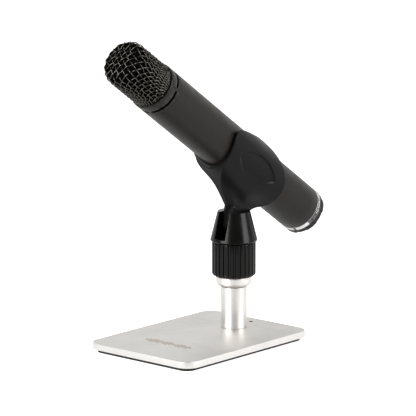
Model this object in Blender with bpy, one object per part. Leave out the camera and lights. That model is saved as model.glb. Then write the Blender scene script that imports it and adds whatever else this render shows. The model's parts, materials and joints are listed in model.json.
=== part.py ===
"""Desktop microphone: a handheld condenser microphone in a clip on a weighted table stand.

The frame has its origin in the middle of the stand's underside, +Z up and the
microphone's head towards -Y. Lengths below are in millimetres and become metres
when a mesh is made. Along the microphone, a station is the place on its axis (0 just
ahead of the post, positive towards the head), and an angle of 0 is its top, 90 its
+X side.
"""
import math

import bmesh
import bpy
import numpy as np
from mathutils import Matrix, Vector

MM = 0.001
GAP = 0.3                     # air between pieces that touch on the real object

# Stand
PAD_THICK = 2.4
PAD_INSET = 3.5
PLATE_WIDTH = 92.0
PLATE_DEPTH = 127.0
PLATE_THICK = 4.6
PLATE_CORNER_R = 10.0
PLATE_BEVEL = 0.4
PLATE_TOP = PAD_THICK + PLATE_THICK
POST_Y = 35.6
POST_R = 9.1
POST_HEIGHT = 29.2            # from the plate to the underside of the ring
STUD_R = 7.9                  # 5/8 inch microphone thread on top of the post
RING_R = 12.4
RING_THICK = 6.8
PIN_HOLE_Y = 54.0
PIN_HOLE_R = 1.3
SCREW_R = 3.0
SCREW_HEAD_R = 6.0
SCREW_HEAD_RISE = 2.4         # height of the screw's countersunk cone
SCREW_LENGTH = 14.0           # reach above the plate

# Swivel
RING_TOP = PLATE_TOP + POST_HEIGHT + RING_THICK
COLLAR_R = 15.1
COLLAR_HEIGHT = 24.5
COLLAR_BORE_R = 12.4
RIB_COUNT = 26
RIB_DEPTH = 0.8
CONE_LIP_R = 16.2
CONE_TOP_R = 11.2
CONE_BOTTOM = RING_TOP + COLLAR_HEIGHT
CONE_TOP = CONE_BOTTOM + 21.0
SLOT_HALF = 4.6               # the slot runs along Y, for the clip's tab
SLOT_FLOOR = CONE_BOTTOM + 2.8
PIVOT_Z = PLATE_TOP + 72.0
PIVOT_R = 2.5
PIVOT_HEAD_R = 4.2            # screw's head, and its nut across the corners
PIVOT_HEAD_X = -10.2          # the head bears here, in a recess in the left ear
PIVOT_TIP_X = 9.4
NUT_INNER_X = 4.9             # the nut sits in a pocket in the right ear
NUT_OUTER_X = 8.1

# Clip
TILT_DEG = 34.5
AXIS_RISE = 49.6              # station 0 above the pivot
AXIS_AHEAD = 1.0              # station 0 in front of the pivot
CLIP_BORE_R = 16.95
CLIP_BLANK_R = 16.35          # inside of the cradle before it is bored
CLIP_R = 19.6
TAB_HALF = 4.3
TAB_R = 8.0
CLIP_PEAK_DEG = 20.0          # top of each arm, measured from the microphone's top
# Edge of the cradle as (angle, station), from the arm's peak round to the underside
CLIP_FRONT_EDGE = [(20, -12), (37, 0), (48, 10.6), (59, 20), (70, 23.6), (90, 24.2),
                   (122, 20.6), (150, 17.6), (180, 15)]
CLIP_REAR_EDGE = [(20, -12), (24, -14.6), (40, -24), (57, -31), (87, -39), (120, -42.5),
                  (180, -44.6)]
# Web between the cradle and the tab, by distance below the microphone's axis:
# (distance, front station, rear station, half-width at the front, middle and rear)
WEB_SECTIONS = [(34.0, -15.8, -33.6, 1.5, 4.2, 4.2), (30.0, -7.6, -33.6, 2.0, 4.2, 4.3),
                (26.0, 0.4, -35.0, 3.1, 4.6, 4.6), (22.5, 7.8, -38.0, 5.8, 7.4, 5.6),
                (20.0, 13.0, -40.8, 9.0, 10.0, 6.9), (17.8, 15.8, -43.0, 11.6, 11.8, 8.8),
                (14.0, 18.4, -43.2, 14.2, 14.2, 13.4), (10.0, 20.4, -42.2, 16.4, 16.4, 16.4)]
PAD_STATION = -8.4            # side pad, an oval with narrow ends: middle and half sizes
PAD_ANGLE = 105.2
PAD_HALF_LENGTH = 21.9
PAD_HALF_WIDTH = 9.9
PAD_TAPER = 1.5               # 1 for an ellipse, more for narrower ends
PAD_GROOVE = 0.8              # gap round the pad
PAD_SUNK = 0.8                # pad's face below the arm's
PAD_THICKNESS = 0.7

# Microphone
TUBE_R = 16.75
TUBE_BORE_R = 15.2
TUBE_TAIL = -84.3
TUBE_HEAD = 100.3
VENT_START = 92.4
VENT_WIDTH = 2.1
VENT_SPAN_DEG = 82.0
VENT_FIRST_BRIDGE_DEG = 82.0
BAND_TAIL = -88.0
LOCK_TAIL = -92.3
LOCK_R = 16.9
GRILLE_R = 16.2
GRILLE_WALL = 1.1
GRILLE_START = 101.0
GRILLE_TIP = 137.8
GRILLE_CROWN = 1.5
GRILLE_CORNER_R = 6.0

# Connector
XLR_SHELL_R = 14.8
XLR_BORE_R = 8.15
XLR_FACE = -76.0              # face of the insert, at the bottom of the socket
XLR_PIN_R = 1.2
XLR_PIN_CIRCLE_R = 4.5
XLR_PIN_TIP = -86.0

# Battery, a 9 V block
BATTERY = (26.3, 17.3, 48.5)
BATTERY_CORNER_R = 3.0
BATTERY_STATION = 50.0

POST_AXIS = (0.0, POST_Y, 0.0)


def clear_scene():
    for item in list(bpy.data.objects):
        bpy.data.objects.remove(item, do_unlink=True)


def make_material(name, colour, roughness, metallic=0.0):
    material = bpy.data.materials.new(name)
    material.use_nodes = True
    shader = material.node_tree.nodes["Principled BSDF"]
    shader.inputs["Base Color"].default_value = (*colour, 1.0)
    shader.inputs["Roughness"].default_value = roughness
    shader.inputs["Metallic"].default_value = metallic
    return material


def make_empty(name, location, tilt_deg=0.0, parent=None):
    empty = bpy.data.objects.new(name, None)
    bpy.context.scene.collection.objects.link(empty)
    empty.parent = parent
    empty.location = Vector(location) * MM
    empty.rotation_euler = (math.radians(tilt_deg), 0.0, 0.0)
    return empty


def make_object(name, bm, material, parent=None, smooth_deg=35.0):
    """Turn a bmesh in millimetres into an object in metres."""
    bmesh.ops.recalc_face_normals(bm, faces=bm.faces)
    bmesh.ops.scale(bm, vec=(MM, MM, MM), verts=bm.verts)
    mesh = bpy.data.meshes.new(name)
    bm.to_mesh(mesh)
    bm.free()
    mesh.shade_smooth()
    mesh.set_sharp_from_angle(angle=math.radians(smooth_deg))
    if material:
        mesh.materials.append(material)
    item = bpy.data.objects.new(name, mesh)
    bpy.context.scene.collection.objects.link(item)
    item.parent = parent
    return item


def combine(target, operation, bm, name, parent=None):
    """Join a shape to an object, or cut it out, with a live Boolean."""
    tool = make_object(name, bm, None, parent)
    tool.hide_render = True
    tool.display_type = "WIRE"
    modifier = target.modifiers.new(name, "BOOLEAN")
    modifier.operation = operation
    modifier.solver = "EXACT"
    modifier.object = tool


def loft(sections, closed_loop=False):
    """Skin a list of rings with equal point counts, and cap the first and last."""
    bm = bmesh.new()
    rings = [[bm.verts.new(point) for point in section] for section in sections]
    pairs = list(zip(rings, rings[1:]))
    if closed_loop:
        pairs.append((rings[-1], rings[0]))
    for lower, upper in pairs:
        for i in range(len(lower)):
            j = (i + 1) % len(lower)
            bm.faces.new((lower[i], lower[j], upper[j], upper[i]))
    if not closed_loop:
        bm.faces.new(rings[0])
        bm.faces.new(rings[-1])
    return bm


def ring_points(radius, z, sides, phase=0.0):
    turn = 2.0 * math.pi / sides
    return [(radius * math.cos(i * turn + phase), radius * math.sin(i * turn + phase), z)
            for i in range(sides)]


def turned(profile, sides=48):
    """Solid of revolution about Z from (radius, z) points: bored, or solid if it ends on the axis."""
    sections = [ring_points(radius, z, sides) for radius, z in profile if radius > 0.0]
    bored = all(radius > 0.0 for radius, _ in profile)
    return loft(sections, closed_loop=bored)


def disc(radius, z0, z1, sides=32):
    return loft([ring_points(radius, z0, sides), ring_points(radius, z1, sides)])


def tube(outer, inner, z0, z1, sides=48):
    return turned([(outer, z0), (outer, z1), (inner, z1), (inner, z0)], sides)


def rounded_rectangle(width, depth, radius, z, steps=6):
    points = []
    corners = [(1, 1), (-1, 1), (-1, -1), (1, -1)]
    for quarter, (sign_x, sign_y) in enumerate(corners):
        centre_x = sign_x * (width / 2 - radius)
        centre_y = sign_y * (depth / 2 - radius)
        for i in range(steps + 1):
            angle = math.pi / 2 * (quarter + i / steps)
            points.append((centre_x + radius * math.cos(angle),
                           centre_y + radius * math.sin(angle), z))
    return points


def rounded_slab(width, depth, corner, z0, z1, bevel=0.0, steps=6):
    """Plate with round corners and, if bevel is set, a chamfer round both faces."""
    if bevel == 0.0:
        levels = [(z0, 0.0), (z1, 0.0)]
    else:
        levels = [(z0, bevel), (z0 + bevel, 0.0), (z1 - bevel, 0.0), (z1, bevel)]
    return loft([rounded_rectangle(width - 2 * inset, depth - 2 * inset, corner - inset, z, steps)
                 for z, inset in levels])


def box(size, centre):
    bm = bmesh.new()
    bmesh.ops.create_cube(bm, size=1.0)
    bmesh.ops.scale(bm, vec=size, verts=bm.verts)
    bmesh.ops.translate(bm, vec=centre, verts=bm.verts)
    return bm


def shift(bm, offset):
    bmesh.ops.translate(bm, vec=offset, verts=bm.verts)
    return bm


def lay_along_x(bm):
    """Turn a shape made about Z so that its axis lies along X."""
    bmesh.ops.rotate(bm, cent=(0, 0, 0), matrix=Matrix.Rotation(math.pi / 2, 3, "Y"), verts=bm.verts)
    return bm


def lay_along_y(bm):
    bmesh.ops.rotate(bm, cent=(0, 0, 0), matrix=Matrix.Rotation(-math.pi / 2, 3, "X"), verts=bm.verts)
    return bm


def arc_profile(centre_r, centre_z, radius, start_deg, end_deg, steps):
    angles = np.radians(np.linspace(start_deg, end_deg, steps + 1))
    return [(centre_r + radius * math.cos(a), centre_z + radius * math.sin(a)) for a in angles]


def spline(knots):
    """Natural cubic through (x, y) knots, returned as a function of x."""
    xs, ys = (np.array(column, float) for column in zip(*knots))
    gaps = np.diff(xs)
    slopes = np.diff(ys) / gaps
    count = len(xs)
    system = np.eye(count)
    right = np.zeros(count)
    for i in range(1, count - 1):
        system[i, i - 1:i + 2] = gaps[i - 1], 2 * (gaps[i - 1] + gaps[i]), gaps[i]
        right[i] = 3 * (slopes[i] - slopes[i - 1])
    bend = np.linalg.solve(system, right)

    def value(x):
        i = int(np.clip(np.searchsorted(xs, x) - 1, 0, count - 2))
        step = x - xs[i]
        first = slopes[i] - gaps[i] * (2 * bend[i] + bend[i + 1]) / 3
        third = (bend[i + 1] - bend[i]) / (3 * gaps[i])
        return float(ys[i] + step * (first + step * (bend[i] + step * third)))

    return value


def on_cylinder(radius, angle_deg, station):
    """Point of the microphone's frame at a radius, an angle from its top and a station."""
    angle = math.radians(angle_deg)
    return (radius * math.sin(angle), radius * math.cos(angle), station)


# ---------------------------------------------------------------- stand

def build_stand(paint):
    pad = rounded_slab(PLATE_WIDTH - 2 * PAD_INSET, PLATE_DEPTH - 2 * PAD_INSET,
                       PLATE_CORNER_R - PAD_INSET, 0.0, PAD_THICK - GAP / 2)
    make_object("base_pad", pad, paint["black_rubber"])

    plate_bottom = PAD_THICK + GAP / 2
    plate = make_object("base_plate", rounded_slab(PLATE_WIDTH, PLATE_DEPTH, PLATE_CORNER_R,
                                                   plate_bottom, PLATE_TOP, PLATE_BEVEL),
                        paint["nickel_plate"])
    head_foot = plate_bottom + GAP
    seat_foot = head_foot + 0.1
    screw_hole = turned([(0, plate_bottom - 1), (SCREW_HEAD_R + GAP, plate_bottom - 1),
                         (SCREW_HEAD_R + GAP, seat_foot), (SCREW_R + GAP, seat_foot + SCREW_HEAD_RISE),
                         (SCREW_R + GAP, PLATE_TOP + 1), (0, PLATE_TOP + 1)], 24)
    combine(plate, "DIFFERENCE", shift(screw_hole, (0, POST_Y, 0)), "cut_screw_hole")
    pin_hole = disc(PIN_HOLE_R, PLATE_TOP - 3.0, PLATE_TOP + 1, 16)
    combine(plate, "DIFFERENCE", shift(pin_hole, (0, PIN_HOLE_Y, 0)), "cut_pin_hole")

    screw_tip = PLATE_TOP + SCREW_LENGTH
    post_foot = PLATE_TOP + 0.1
    ring_foot = PLATE_TOP + POST_HEIGHT
    stud_top = RING_TOP + 14.0
    post = turned([(SCREW_R + GAP, post_foot), (POST_R, post_foot), (POST_R, ring_foot - GAP),
                   (STUD_R, ring_foot - GAP), (STUD_R, stud_top - 1.0), (STUD_R - 1.0, stud_top),
                   (1.0, stud_top), (1.0, screw_tip + 1.0), (SCREW_R + GAP, screw_tip)], 40)
    make_object("post", shift(post, POST_AXIS), paint["nickel_bar"])

    screw = turned([(0, head_foot), (SCREW_HEAD_R, head_foot), (SCREW_R, head_foot + SCREW_HEAD_RISE),
                    (SCREW_R, screw_tip - 0.8), (SCREW_R - 0.8, screw_tip - 0.2), (0, screw_tip - 0.2)], 24)
    screw = make_object("post_screw", shift(screw, POST_AXIS), paint["zinc"])
    hex_socket = disc(2.0, head_foot - 1, head_foot + 2.2, 6)
    combine(screw, "DIFFERENCE", shift(hex_socket, POST_AXIS), "cut_hex_socket")

    ring = turned([(STUD_R + GAP, ring_foot), (RING_R - 1.6, ring_foot), (RING_R - 0.4, ring_foot + 1.2),
                   (RING_R, ring_foot + 2.4), (RING_R, RING_TOP - 0.6), (RING_R - 0.6, RING_TOP),
                   (STUD_R + GAP, RING_TOP)], 48)
    make_object("post_ring", shift(ring, POST_AXIS), paint["nickel_bar"])


# ---------------------------------------------------------------- swivel

def rib_ring(scale, z):
    """One level of the ribbed collar: flat crests and grooves round the circle."""
    points = []
    for rib in range(RIB_COUNT):
        for fraction, radius in ((0.0, COLLAR_R - RIB_DEPTH), (0.3, COLLAR_R - RIB_DEPTH),
                                 (0.42, COLLAR_R), (0.88, COLLAR_R)):
            angle = 2 * math.pi * (rib + fraction) / RIB_COUNT
            points.append((scale * radius * math.cos(angle), scale * radius * math.sin(angle), z))
    return points


def build_swivel(paint, pan_axis):
    def to_axis(bm, height=0.0):
        return shift(bm, (0, 0, height - RING_TOP))

    collar_foot = RING_TOP + GAP
    collar_top = CONE_BOTTOM - GAP
    sides = RIB_COUNT * 4
    bore = [ring_points(COLLAR_BORE_R, z, sides) for z in (collar_top, collar_foot)]
    skin = [rib_ring(0.93, collar_foot), rib_ring(1.0, collar_foot + 1.0), rib_ring(1.0, collar_top)]
    make_object("grip_collar", to_axis(loft(skin + bore, closed_loop=True)), paint["black_abs"], pan_axis)

    insert_foot = collar_foot + 1.0
    insert_top = collar_foot + 15.0
    insert_r = 9.3
    make_object("thread_insert", to_axis(tube(insert_r, STUD_R + GAP, insert_foot, insert_top, 40)),
                paint["brass"], pan_axis)

    lip_top = CONE_BOTTOM + 1.0
    spigot_r = COLLAR_BORE_R - GAP
    cone = turned([(insert_r + GAP, collar_foot), (spigot_r, collar_foot), (spigot_r, CONE_BOTTOM),
                   (CONE_LIP_R - 0.4, CONE_BOTTOM), (CONE_LIP_R, CONE_BOTTOM + 0.4),
                   (CONE_LIP_R, lip_top), (CONE_LIP_R - 0.3, lip_top + 0.5),
                   (CONE_TOP_R + 0.4, CONE_TOP - 0.4), (CONE_TOP_R, CONE_TOP),
                   (1.5, CONE_TOP), (1.5, insert_top + 1.0), (insert_r + GAP, insert_top + 1.0)], 48)
    cone = make_object("fork_cone", to_axis(cone), paint["black_abs"], pan_axis)
    slot_height = CONE_TOP - SLOT_FLOOR + 2.0
    slot = box((2 * SLOT_HALF, 40.0, slot_height), (0, 0, SLOT_FLOOR + slot_height / 2))
    combine(cone, "DIFFERENCE", to_axis(slot), "cut_fork_slot", pan_axis)
    head_r = PIVOT_HEAD_R + GAP
    for tool, name in ((disc(head_r, 0, NUT_OUTER_X + GAP, 6), "cut_nut_pocket"),
                       (disc(head_r, -20, PIVOT_HEAD_X + GAP, 24), "cut_head_recess"),
                       (disc(PIVOT_R + GAP, -20, PIVOT_TIP_X + GAP, 20), "cut_bolt_way")):
        combine(cone, "DIFFERENCE", to_axis(lay_along_x(tool), PIVOT_Z), name, pan_axis)

    head_face = PIVOT_HEAD_X - 2.2
    bolt = turned([(0, head_face), (PIVOT_HEAD_R - 0.4, head_face), (PIVOT_HEAD_R, PIVOT_HEAD_X),
                   (PIVOT_R, PIVOT_HEAD_X), (PIVOT_R, PIVOT_TIP_X - 0.5),
                   (PIVOT_R - 0.5, PIVOT_TIP_X), (0, PIVOT_TIP_X)], 24)
    bolt = make_object("pivot_bolt", to_axis(lay_along_x(bolt), PIVOT_Z), paint["black_steel"], pan_axis)
    driver_slot = box((2.0, 1.0, 12.0), (head_face, 0, 0))
    combine(bolt, "DIFFERENCE", to_axis(driver_slot, PIVOT_Z), "cut_driver_slot", pan_axis)
    nut = to_axis(lay_along_x(disc(PIVOT_HEAD_R, NUT_INNER_X, NUT_OUTER_X, 6)), PIVOT_Z)
    nut = make_object("pivot_nut", nut, paint["black_steel"], pan_axis)
    nut_bore = to_axis(lay_along_x(disc(PIVOT_R + GAP, 0, 20, 20)), PIVOT_Z)
    combine(nut, "DIFFERENCE", nut_bore, "cut_nut_bore", pan_axis)


# ---------------------------------------------------------------- clip

def cradle_solid():
    """Open cradle round the microphone: a thick shell between the two edge curves.

    Its inside is left undersize, for the bore to be cut through it and the web at once.
    """
    front = spline([(math.sqrt(angle - CLIP_PEAK_DEG), station) for angle, station in CLIP_FRONT_EDGE])
    rear = spline([(math.sqrt(angle - CLIP_PEAK_DEG), station) for angle, station in CLIP_REAR_EDGE])
    half_turns = 20
    columns = 7
    last = math.sqrt(180.0 - CLIP_PEAK_DEG)
    ramp = [0.35] + [last * (i / half_turns) ** 0.8 for i in range(1, half_turns + 1)]
    rows = [(CLIP_PEAK_DEG + w * w, front(w), rear(w)) for w in ramp]
    rows += [(360.0 - angle, ahead, behind) for angle, ahead, behind in rows[-2::-1]]
    bm = bmesh.new()
    skins = []
    for radius in (CLIP_R, CLIP_BLANK_R):
        skin = []
        for angle, ahead, behind in rows:
            stations = np.linspace(behind, ahead, columns)
            skin.append([bm.verts.new(on_cylinder(radius, angle, s)) for s in stations])
        skins.append(skin)
    outer, inner = skins
    for skin in skins:
        for row, following in zip(skin, skin[1:]):
            for i in range(columns - 1):
                bm.faces.new((row[i], row[i + 1], following[i + 1], following[i]))
    rim = [(r, 0) for r in range(len(rows))] + [(len(rows) - 1, c) for c in range(1, columns)]
    rim += [(r, columns - 1) for r in range(len(rows) - 2, -1, -1)]
    rim += [(0, c) for c in range(columns - 2, 0, -1)]
    for here, there in zip(rim, rim[1:] + rim[:1]):
        (a, b), (c, d) = here, there
        bm.faces.new((outer[a][b], outer[c][d], inner[c][d], inner[a][b]))
    return bm


def blend(first, second, share):
    share = min(max(share, 0.0), 1.0)
    share = share * share * (3.0 - 2.0 * share)
    return first + (second - first) * share


def web_section(below, front, rear, front_half, middle_half, rear_half, columns=11):
    """One outline of the web, parallel to the microphone: a narrow nose, widening to the rear."""
    right = []
    for part in np.linspace(0.0, 1.0, columns):
        half = blend(front_half, middle_half, part / 0.35)
        if part > 0.6:
            half = blend(middle_half, rear_half, (part - 0.6) / 0.4)
        right.append((half, -below, front + part * (rear - front)))
    left = [(-x, y, z) for x, y, z in reversed(right)]
    return right + left


def tab_outline():
    """Side view of the tab as (y, z) about the pivot: a round eye and the waist above it."""
    eye = arc_profile(0.0, 0.0, TAB_R, 10, -190, 18)
    return [(-5.5, 11.0), (11.4, 11.0), (11.4, 9.5)] + eye + [(-6.0, 8.0)]


def side_patch(inner_r, outer_r, side, grow=0.0, spokes=28, rings=3):
    """Oval slab wrapped round the clip's arm."""
    bm = bmesh.new()
    skins = []
    for radius in (outer_r, inner_r):
        centre = bm.verts.new(on_cylinder(radius, side * PAD_ANGLE, PAD_STATION))
        loops = []
        for ring in range(1, rings + 1):
            share = ring / rings
            loop = []
            for i in range(spokes):
                turn = 2 * math.pi * i / spokes
                tapered = math.copysign(abs(math.sin(turn)) ** PAD_TAPER, math.sin(turn))
                along = (PAD_HALF_LENGTH + grow) * share * math.cos(turn)
                around = math.degrees((PAD_HALF_WIDTH + grow) * share * tapered / CLIP_R)
                point = on_cylinder(radius, side * (PAD_ANGLE + around), PAD_STATION + along)
                loop.append(bm.verts.new(point))
            loops.append(loop)
        skins.append((centre, loops))
    for centre, loops in skins:
        for i in range(spokes):
            j = (i + 1) % spokes
            bm.faces.new((centre, loops[0][i], loops[0][j]))
            for inside, outside in zip(loops, loops[1:]):
                bm.faces.new((inside[i], outside[i], outside[j], inside[j]))
    for i in range(spokes):
        j = (i + 1) % spokes
        bm.faces.new((skins[0][1][-1][i], skins[1][1][-1][i], skins[1][1][-1][j], skins[0][1][-1][j]))
    return bm


def build_clip(paint, tilt_axis, mic_axis):
    clip = make_object("clip_cradle", cradle_solid(), paint["black_nylon"], mic_axis)
    web = loft([web_section(*section) for section in WEB_SECTIONS])
    combine(clip, "UNION", web, "join_web", mic_axis)
    outline = tab_outline()
    tab = loft([[(x, y, z) for y, z in outline] for x in (-TAB_HALF, TAB_HALF)])
    combine(clip, "UNION", tab, "join_tab", tilt_axis)
    combine(clip, "DIFFERENCE", disc(CLIP_BORE_R, -70, 60, 96), "cut_clip_bore", mic_axis)
    tab_eye = lay_along_x(disc(PIVOT_R + 0.1, -10, 10, 24))
    combine(clip, "DIFFERENCE", tab_eye, "cut_tab_eye", tilt_axis)
    for side, name in ((1, "right"), (-1, "left")):
        face_r = CLIP_R - PAD_SUNK
        recess = side_patch(face_r - PAD_THICKNESS - GAP, CLIP_R + 1.5, side)
        combine(clip, "DIFFERENCE", recess, f"cut_{name}_pad_recess", mic_axis)
        pad = side_patch(face_r - PAD_THICKNESS, face_r, side, -PAD_GROOVE)
        make_object(f"side_pad_{name}", pad, paint["soft_rubber"], mic_axis)


# ---------------------------------------------------------------- microphone

def grille_profile(radius, tip, corner, crown):
    """Outside of the domed basket from its open end to its middle."""
    shoulder = tip - crown
    points = [(radius, GRILLE_START)]
    points += arc_profile(radius - corner, shoulder - corner, corner, 0, 80, 5)
    points.append((0.55 * (radius - corner), tip - 0.35 * crown))
    points.append((0.12 * radius, tip))
    return points


def cup(outside, inside, sides):
    """Closed basket: outer skin to its tip, inner skin back to the open end."""
    bm = bmesh.new()
    skins = []
    for profile in (outside, inside):
        rings = [[bm.verts.new(point) for point in ring_points(r, z, sides)] for r, z in profile]
        bm.faces.new(rings[-1])
        for lower, upper in zip(rings, rings[1:]):
            for i in range(sides):
                j = (i + 1) % sides
                bm.faces.new((lower[i], lower[j], upper[j], upper[i]))
        skins.append(rings)
    for i in range(sides):
        j = (i + 1) % sides
        bm.faces.new((skins[0][0][i], skins[0][0][j], skins[1][0][j], skins[1][0][i]))
    return bm


def build_shell(paint, mic_axis):
    body = turned([(TUBE_R - 0.3, TUBE_TAIL), (TUBE_R, TUBE_TAIL + 0.3), (TUBE_R, TUBE_HEAD - 0.6),
                   (TUBE_R - 0.2, TUBE_HEAD - 0.15), (TUBE_R - 0.6, TUBE_HEAD),
                   (TUBE_BORE_R, TUBE_HEAD), (TUBE_BORE_R, TUBE_TAIL)], 60)
    body = make_object("body_tube", body, paint["black_enamel"], mic_axis)
    for vent in range(4):
        start = VENT_FIRST_BRIDGE_DEG + 90 * vent + (90 - VENT_SPAN_DEG) / 2
        angles = np.linspace(start, start + VENT_SPAN_DEG, 13)
        sections = []
        for angle in angles:
            corners = [(TUBE_BORE_R - 1, VENT_START), (TUBE_R + 1, VENT_START),
                       (TUBE_R + 1, VENT_START + VENT_WIDTH), (TUBE_BORE_R - 1, VENT_START + VENT_WIDTH)]
            sections.append([on_cylinder(radius, angle, station) for radius, station in corners])
        combine(body, "DIFFERENCE", loft(sections), f"cut_vent_{vent + 1}", mic_axis)

    band = tube(TUBE_R, XLR_SHELL_R + GAP, BAND_TAIL, TUBE_TAIL - 0.2, 48)
    make_object("mark_band", band, paint["satin_silver"], mic_axis)

    basket_r = GRILLE_R - GRILLE_WALL
    outside = grille_profile(GRILLE_R, GRILLE_TIP, GRILLE_CORNER_R, GRILLE_CROWN)
    inside = grille_profile(basket_r, GRILLE_TIP - GRILLE_WALL, GRILLE_CORNER_R - GRILLE_WALL, GRILLE_CROWN)
    make_object("grille", cup(outside, inside, 40), paint["black_wire"], mic_axis)

    collar_end = GRILLE_START + 3.0
    collar = tube(basket_r - GAP, 13.3, VENT_START + VENT_WIDTH + 0.5, collar_end, 48)
    make_object("grille_collar", collar, paint["black_abs"], mic_axis)

    foam_r = basket_r - 0.4
    foam_wall = 1.8
    foam_start = collar_end + GAP
    foam_tip = GRILLE_TIP - GRILLE_WALL - 0.4
    outside = grille_profile(foam_r, foam_tip, 4.6, GRILLE_CROWN)
    inside = grille_profile(foam_r - foam_wall, foam_tip - foam_wall, 3.0, GRILLE_CROWN)
    outside[0] = (foam_r, foam_start)
    inside[0] = (foam_r - foam_wall, foam_start)
    make_object("foam_liner", cup(outside, inside, 24), paint["foam"], mic_axis)


def build_lock_ring(paint, mic_axis):
    """Threaded ring that holds the tail in, with six raised grips."""
    grips = 6
    sides = 72
    skin = []
    for scale, station in ((0.985, LOCK_TAIL), (1.0, LOCK_TAIL + 0.4), (1.0, BAND_TAIL - GAP)):
        ring = []
        for i in range(sides):
            angle = 2 * math.pi * i / sides
            raised = 0.35 if (i % (sides // grips)) < 5 else 0.0
            radius = scale * (LOCK_R - 0.4 + raised)
            ring.append((radius * math.cos(angle), radius * math.sin(angle), station))
        skin.append(ring)
    bore = [ring_points(XLR_SHELL_R + GAP, z, sides) for z in (BAND_TAIL - GAP, LOCK_TAIL)]
    make_object("lock_ring", loft(skin + bore, closed_loop=True), paint["black_anodised"], mic_axis)


def build_connector(paint, mic_axis):
    shell_mouth = LOCK_TAIL + 0.3
    shell_end = -66.0
    shell = tube(XLR_SHELL_R, XLR_BORE_R, shell_mouth, shell_end, 48)
    shell = make_object("xlr_shell", shell, paint["nickel_bar"], mic_axis)
    screw_station = (0, 0, -76.0)
    screw_r = 1.5
    body = bpy.data.objects["body_tube"]
    for target, name in ((shell, "cut_shell_screw"), (body, "cut_tube_screw")):
        way = lay_along_y(disc(screw_r + GAP, -18, -11.5, 16))
        combine(target, "DIFFERENCE", shift(way, screw_station), name, mic_axis)
    screw = shift(lay_along_y(disc(screw_r, -16.6, -11.8, 16)), screw_station)
    screw = make_object("tail_screw", screw, paint["black_steel"], mic_axis)
    hex_socket = shift(lay_along_y(disc(0.8, -18, -15.2, 6)), screw_station)
    combine(screw, "DIFFERENCE", hex_socket, "cut_tail_screw_socket", mic_axis)

    insert = disc(XLR_BORE_R - GAP, XLR_FACE, XLR_FACE + 7.0, 32)
    insert = make_object("xlr_insert", insert, paint["black_abs"], mic_axis)
    for pin, angle in enumerate((-50.0, 50.0, 180.0), start=1):
        x, y, _ = on_cylinder(XLR_PIN_CIRCLE_R, angle, 0)
        way = shift(disc(XLR_PIN_R + GAP, XLR_FACE - 1, XLR_FACE + 8, 12), (x, y, 0))
        combine(insert, "DIFFERENCE", way, f"cut_pin_way_{pin}", mic_axis)
        shape = turned([(0, XLR_PIN_TIP), (XLR_PIN_R - 0.5, XLR_PIN_TIP),
                        (XLR_PIN_R, XLR_PIN_TIP + 0.8), (XLR_PIN_R, XLR_FACE + 10.0),
                        (0, XLR_FACE + 10.0)], 12)
        make_object(f"xlr_pin_{pin}", shift(shape, (x, y, 0)), paint["gold"], mic_axis)


def build_electronics(paint, mic_axis):
    board_top = -3.0
    board_thick = 1.6
    board_ends = (-62.0, 20.0)
    board_half = 13.0
    length = board_ends[1] - board_ends[0]
    centre = (0, board_top - board_thick / 2, sum(board_ends) / 2)
    board = make_object("circuit_board", box((2 * board_half, board_thick, length), centre),
                        paint["board_green"], mic_axis)
    rail_height = 5.0
    rail = rounded_slab(18.0, rail_height, 2.0, board_ends[0], board_ends[1], steps=3)
    rail = shift(rail, (0, board_top - board_thick - GAP - rail_height / 2, 0))
    rail = make_object("board_rail", rail, paint["cast_alloy"], mic_axis)
    for number, station in ((1, board_ends[0] + 6.0), (2, board_ends[1] - 6.0)):
        for target, name in ((board, "board"), (rail, "rail")):
            way = shift(lay_along_y(disc(1.3 + GAP, -9.0, 0.0, 12)), (0, 0, station))
            combine(target, "DIFFERENCE", way, f"cut_{name}_screw_{number}", mic_axis)
        screw = turned([(0, -8.7), (1.3, -8.7), (1.3, board_top + GAP), (2.6, board_top + GAP),
                        (2.2, board_top + 1.7), (0, board_top + 1.7)], 12)
        make_object(f"board_screw_{number}", shift(lay_along_y(screw), (0, 0, station)),
                    paint["zinc"], mic_axis)
    part_floor = board_top + GAP
    core_height = 11.0
    core = box((15.0, core_height, 17.0), (0, part_floor + core_height / 2, -38.0))
    make_object("output_transformer", core, paint["core_steel"], mic_axis)
    for number, (x, station) in enumerate(((-6.5, -18.0), (6.5, -18.0), (-6.5, -4.0)), start=1):
        can = lay_along_y(turned([(0, part_floor), (3.6, part_floor), (3.6, part_floor + 8.6),
                                  (3.2, part_floor + 9.0), (0, part_floor + 9.0)], 20))
        make_object(f"capacitor_{number}", shift(can, (x, 0, station)), paint["capacitor_sleeve"], mic_axis)
    make_object("input_transistor", box((5.0, 4.6, 3.0), (6.0, part_floor + 2.3, -5.0)),
                paint["black_abs"], mic_axis)


def build_battery(paint, mic_axis):
    width, height, length = BATTERY
    start = BATTERY_STATION - length / 2
    block = rounded_slab(width, height, BATTERY_CORNER_R, start, start + length, steps=3)
    make_object("battery", block, paint["battery_can"], mic_axis)
    outer_half = TUBE_BORE_R - 0.5
    floor_y = -height / 2 - GAP
    angles = np.linspace(-58, 58, 13)
    sections = []
    for station in (start - 4.5, start + length + 1.8):
        lower = [(outer_half * math.sin(math.radians(a)), -outer_half * math.cos(math.radians(a)), station)
                 for a in angles]
        top = [(lower[-1][0] - 1.0, floor_y, station), (lower[0][0] + 1.0, floor_y, station)]
        sections.append(lower + top)
    make_object("battery_cradle", loft(sections), paint["black_abs"], mic_axis)
    for side, name, radius in ((1, "positive", 2.8), (-1, "negative", 3.6)):
        stud = shift(disc(radius, start - 3.2, start - GAP, 6 if side < 0 else 16), (side * 6.35, 0, 0))
        make_object(f"{name}_contact", stud, paint["zinc"], mic_axis)
    board = box((22.0, 14.0, 1.2), (0, 1.0, start - 4.2))
    make_object("contact_board", board, paint["board_green"], mic_axis)


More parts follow.
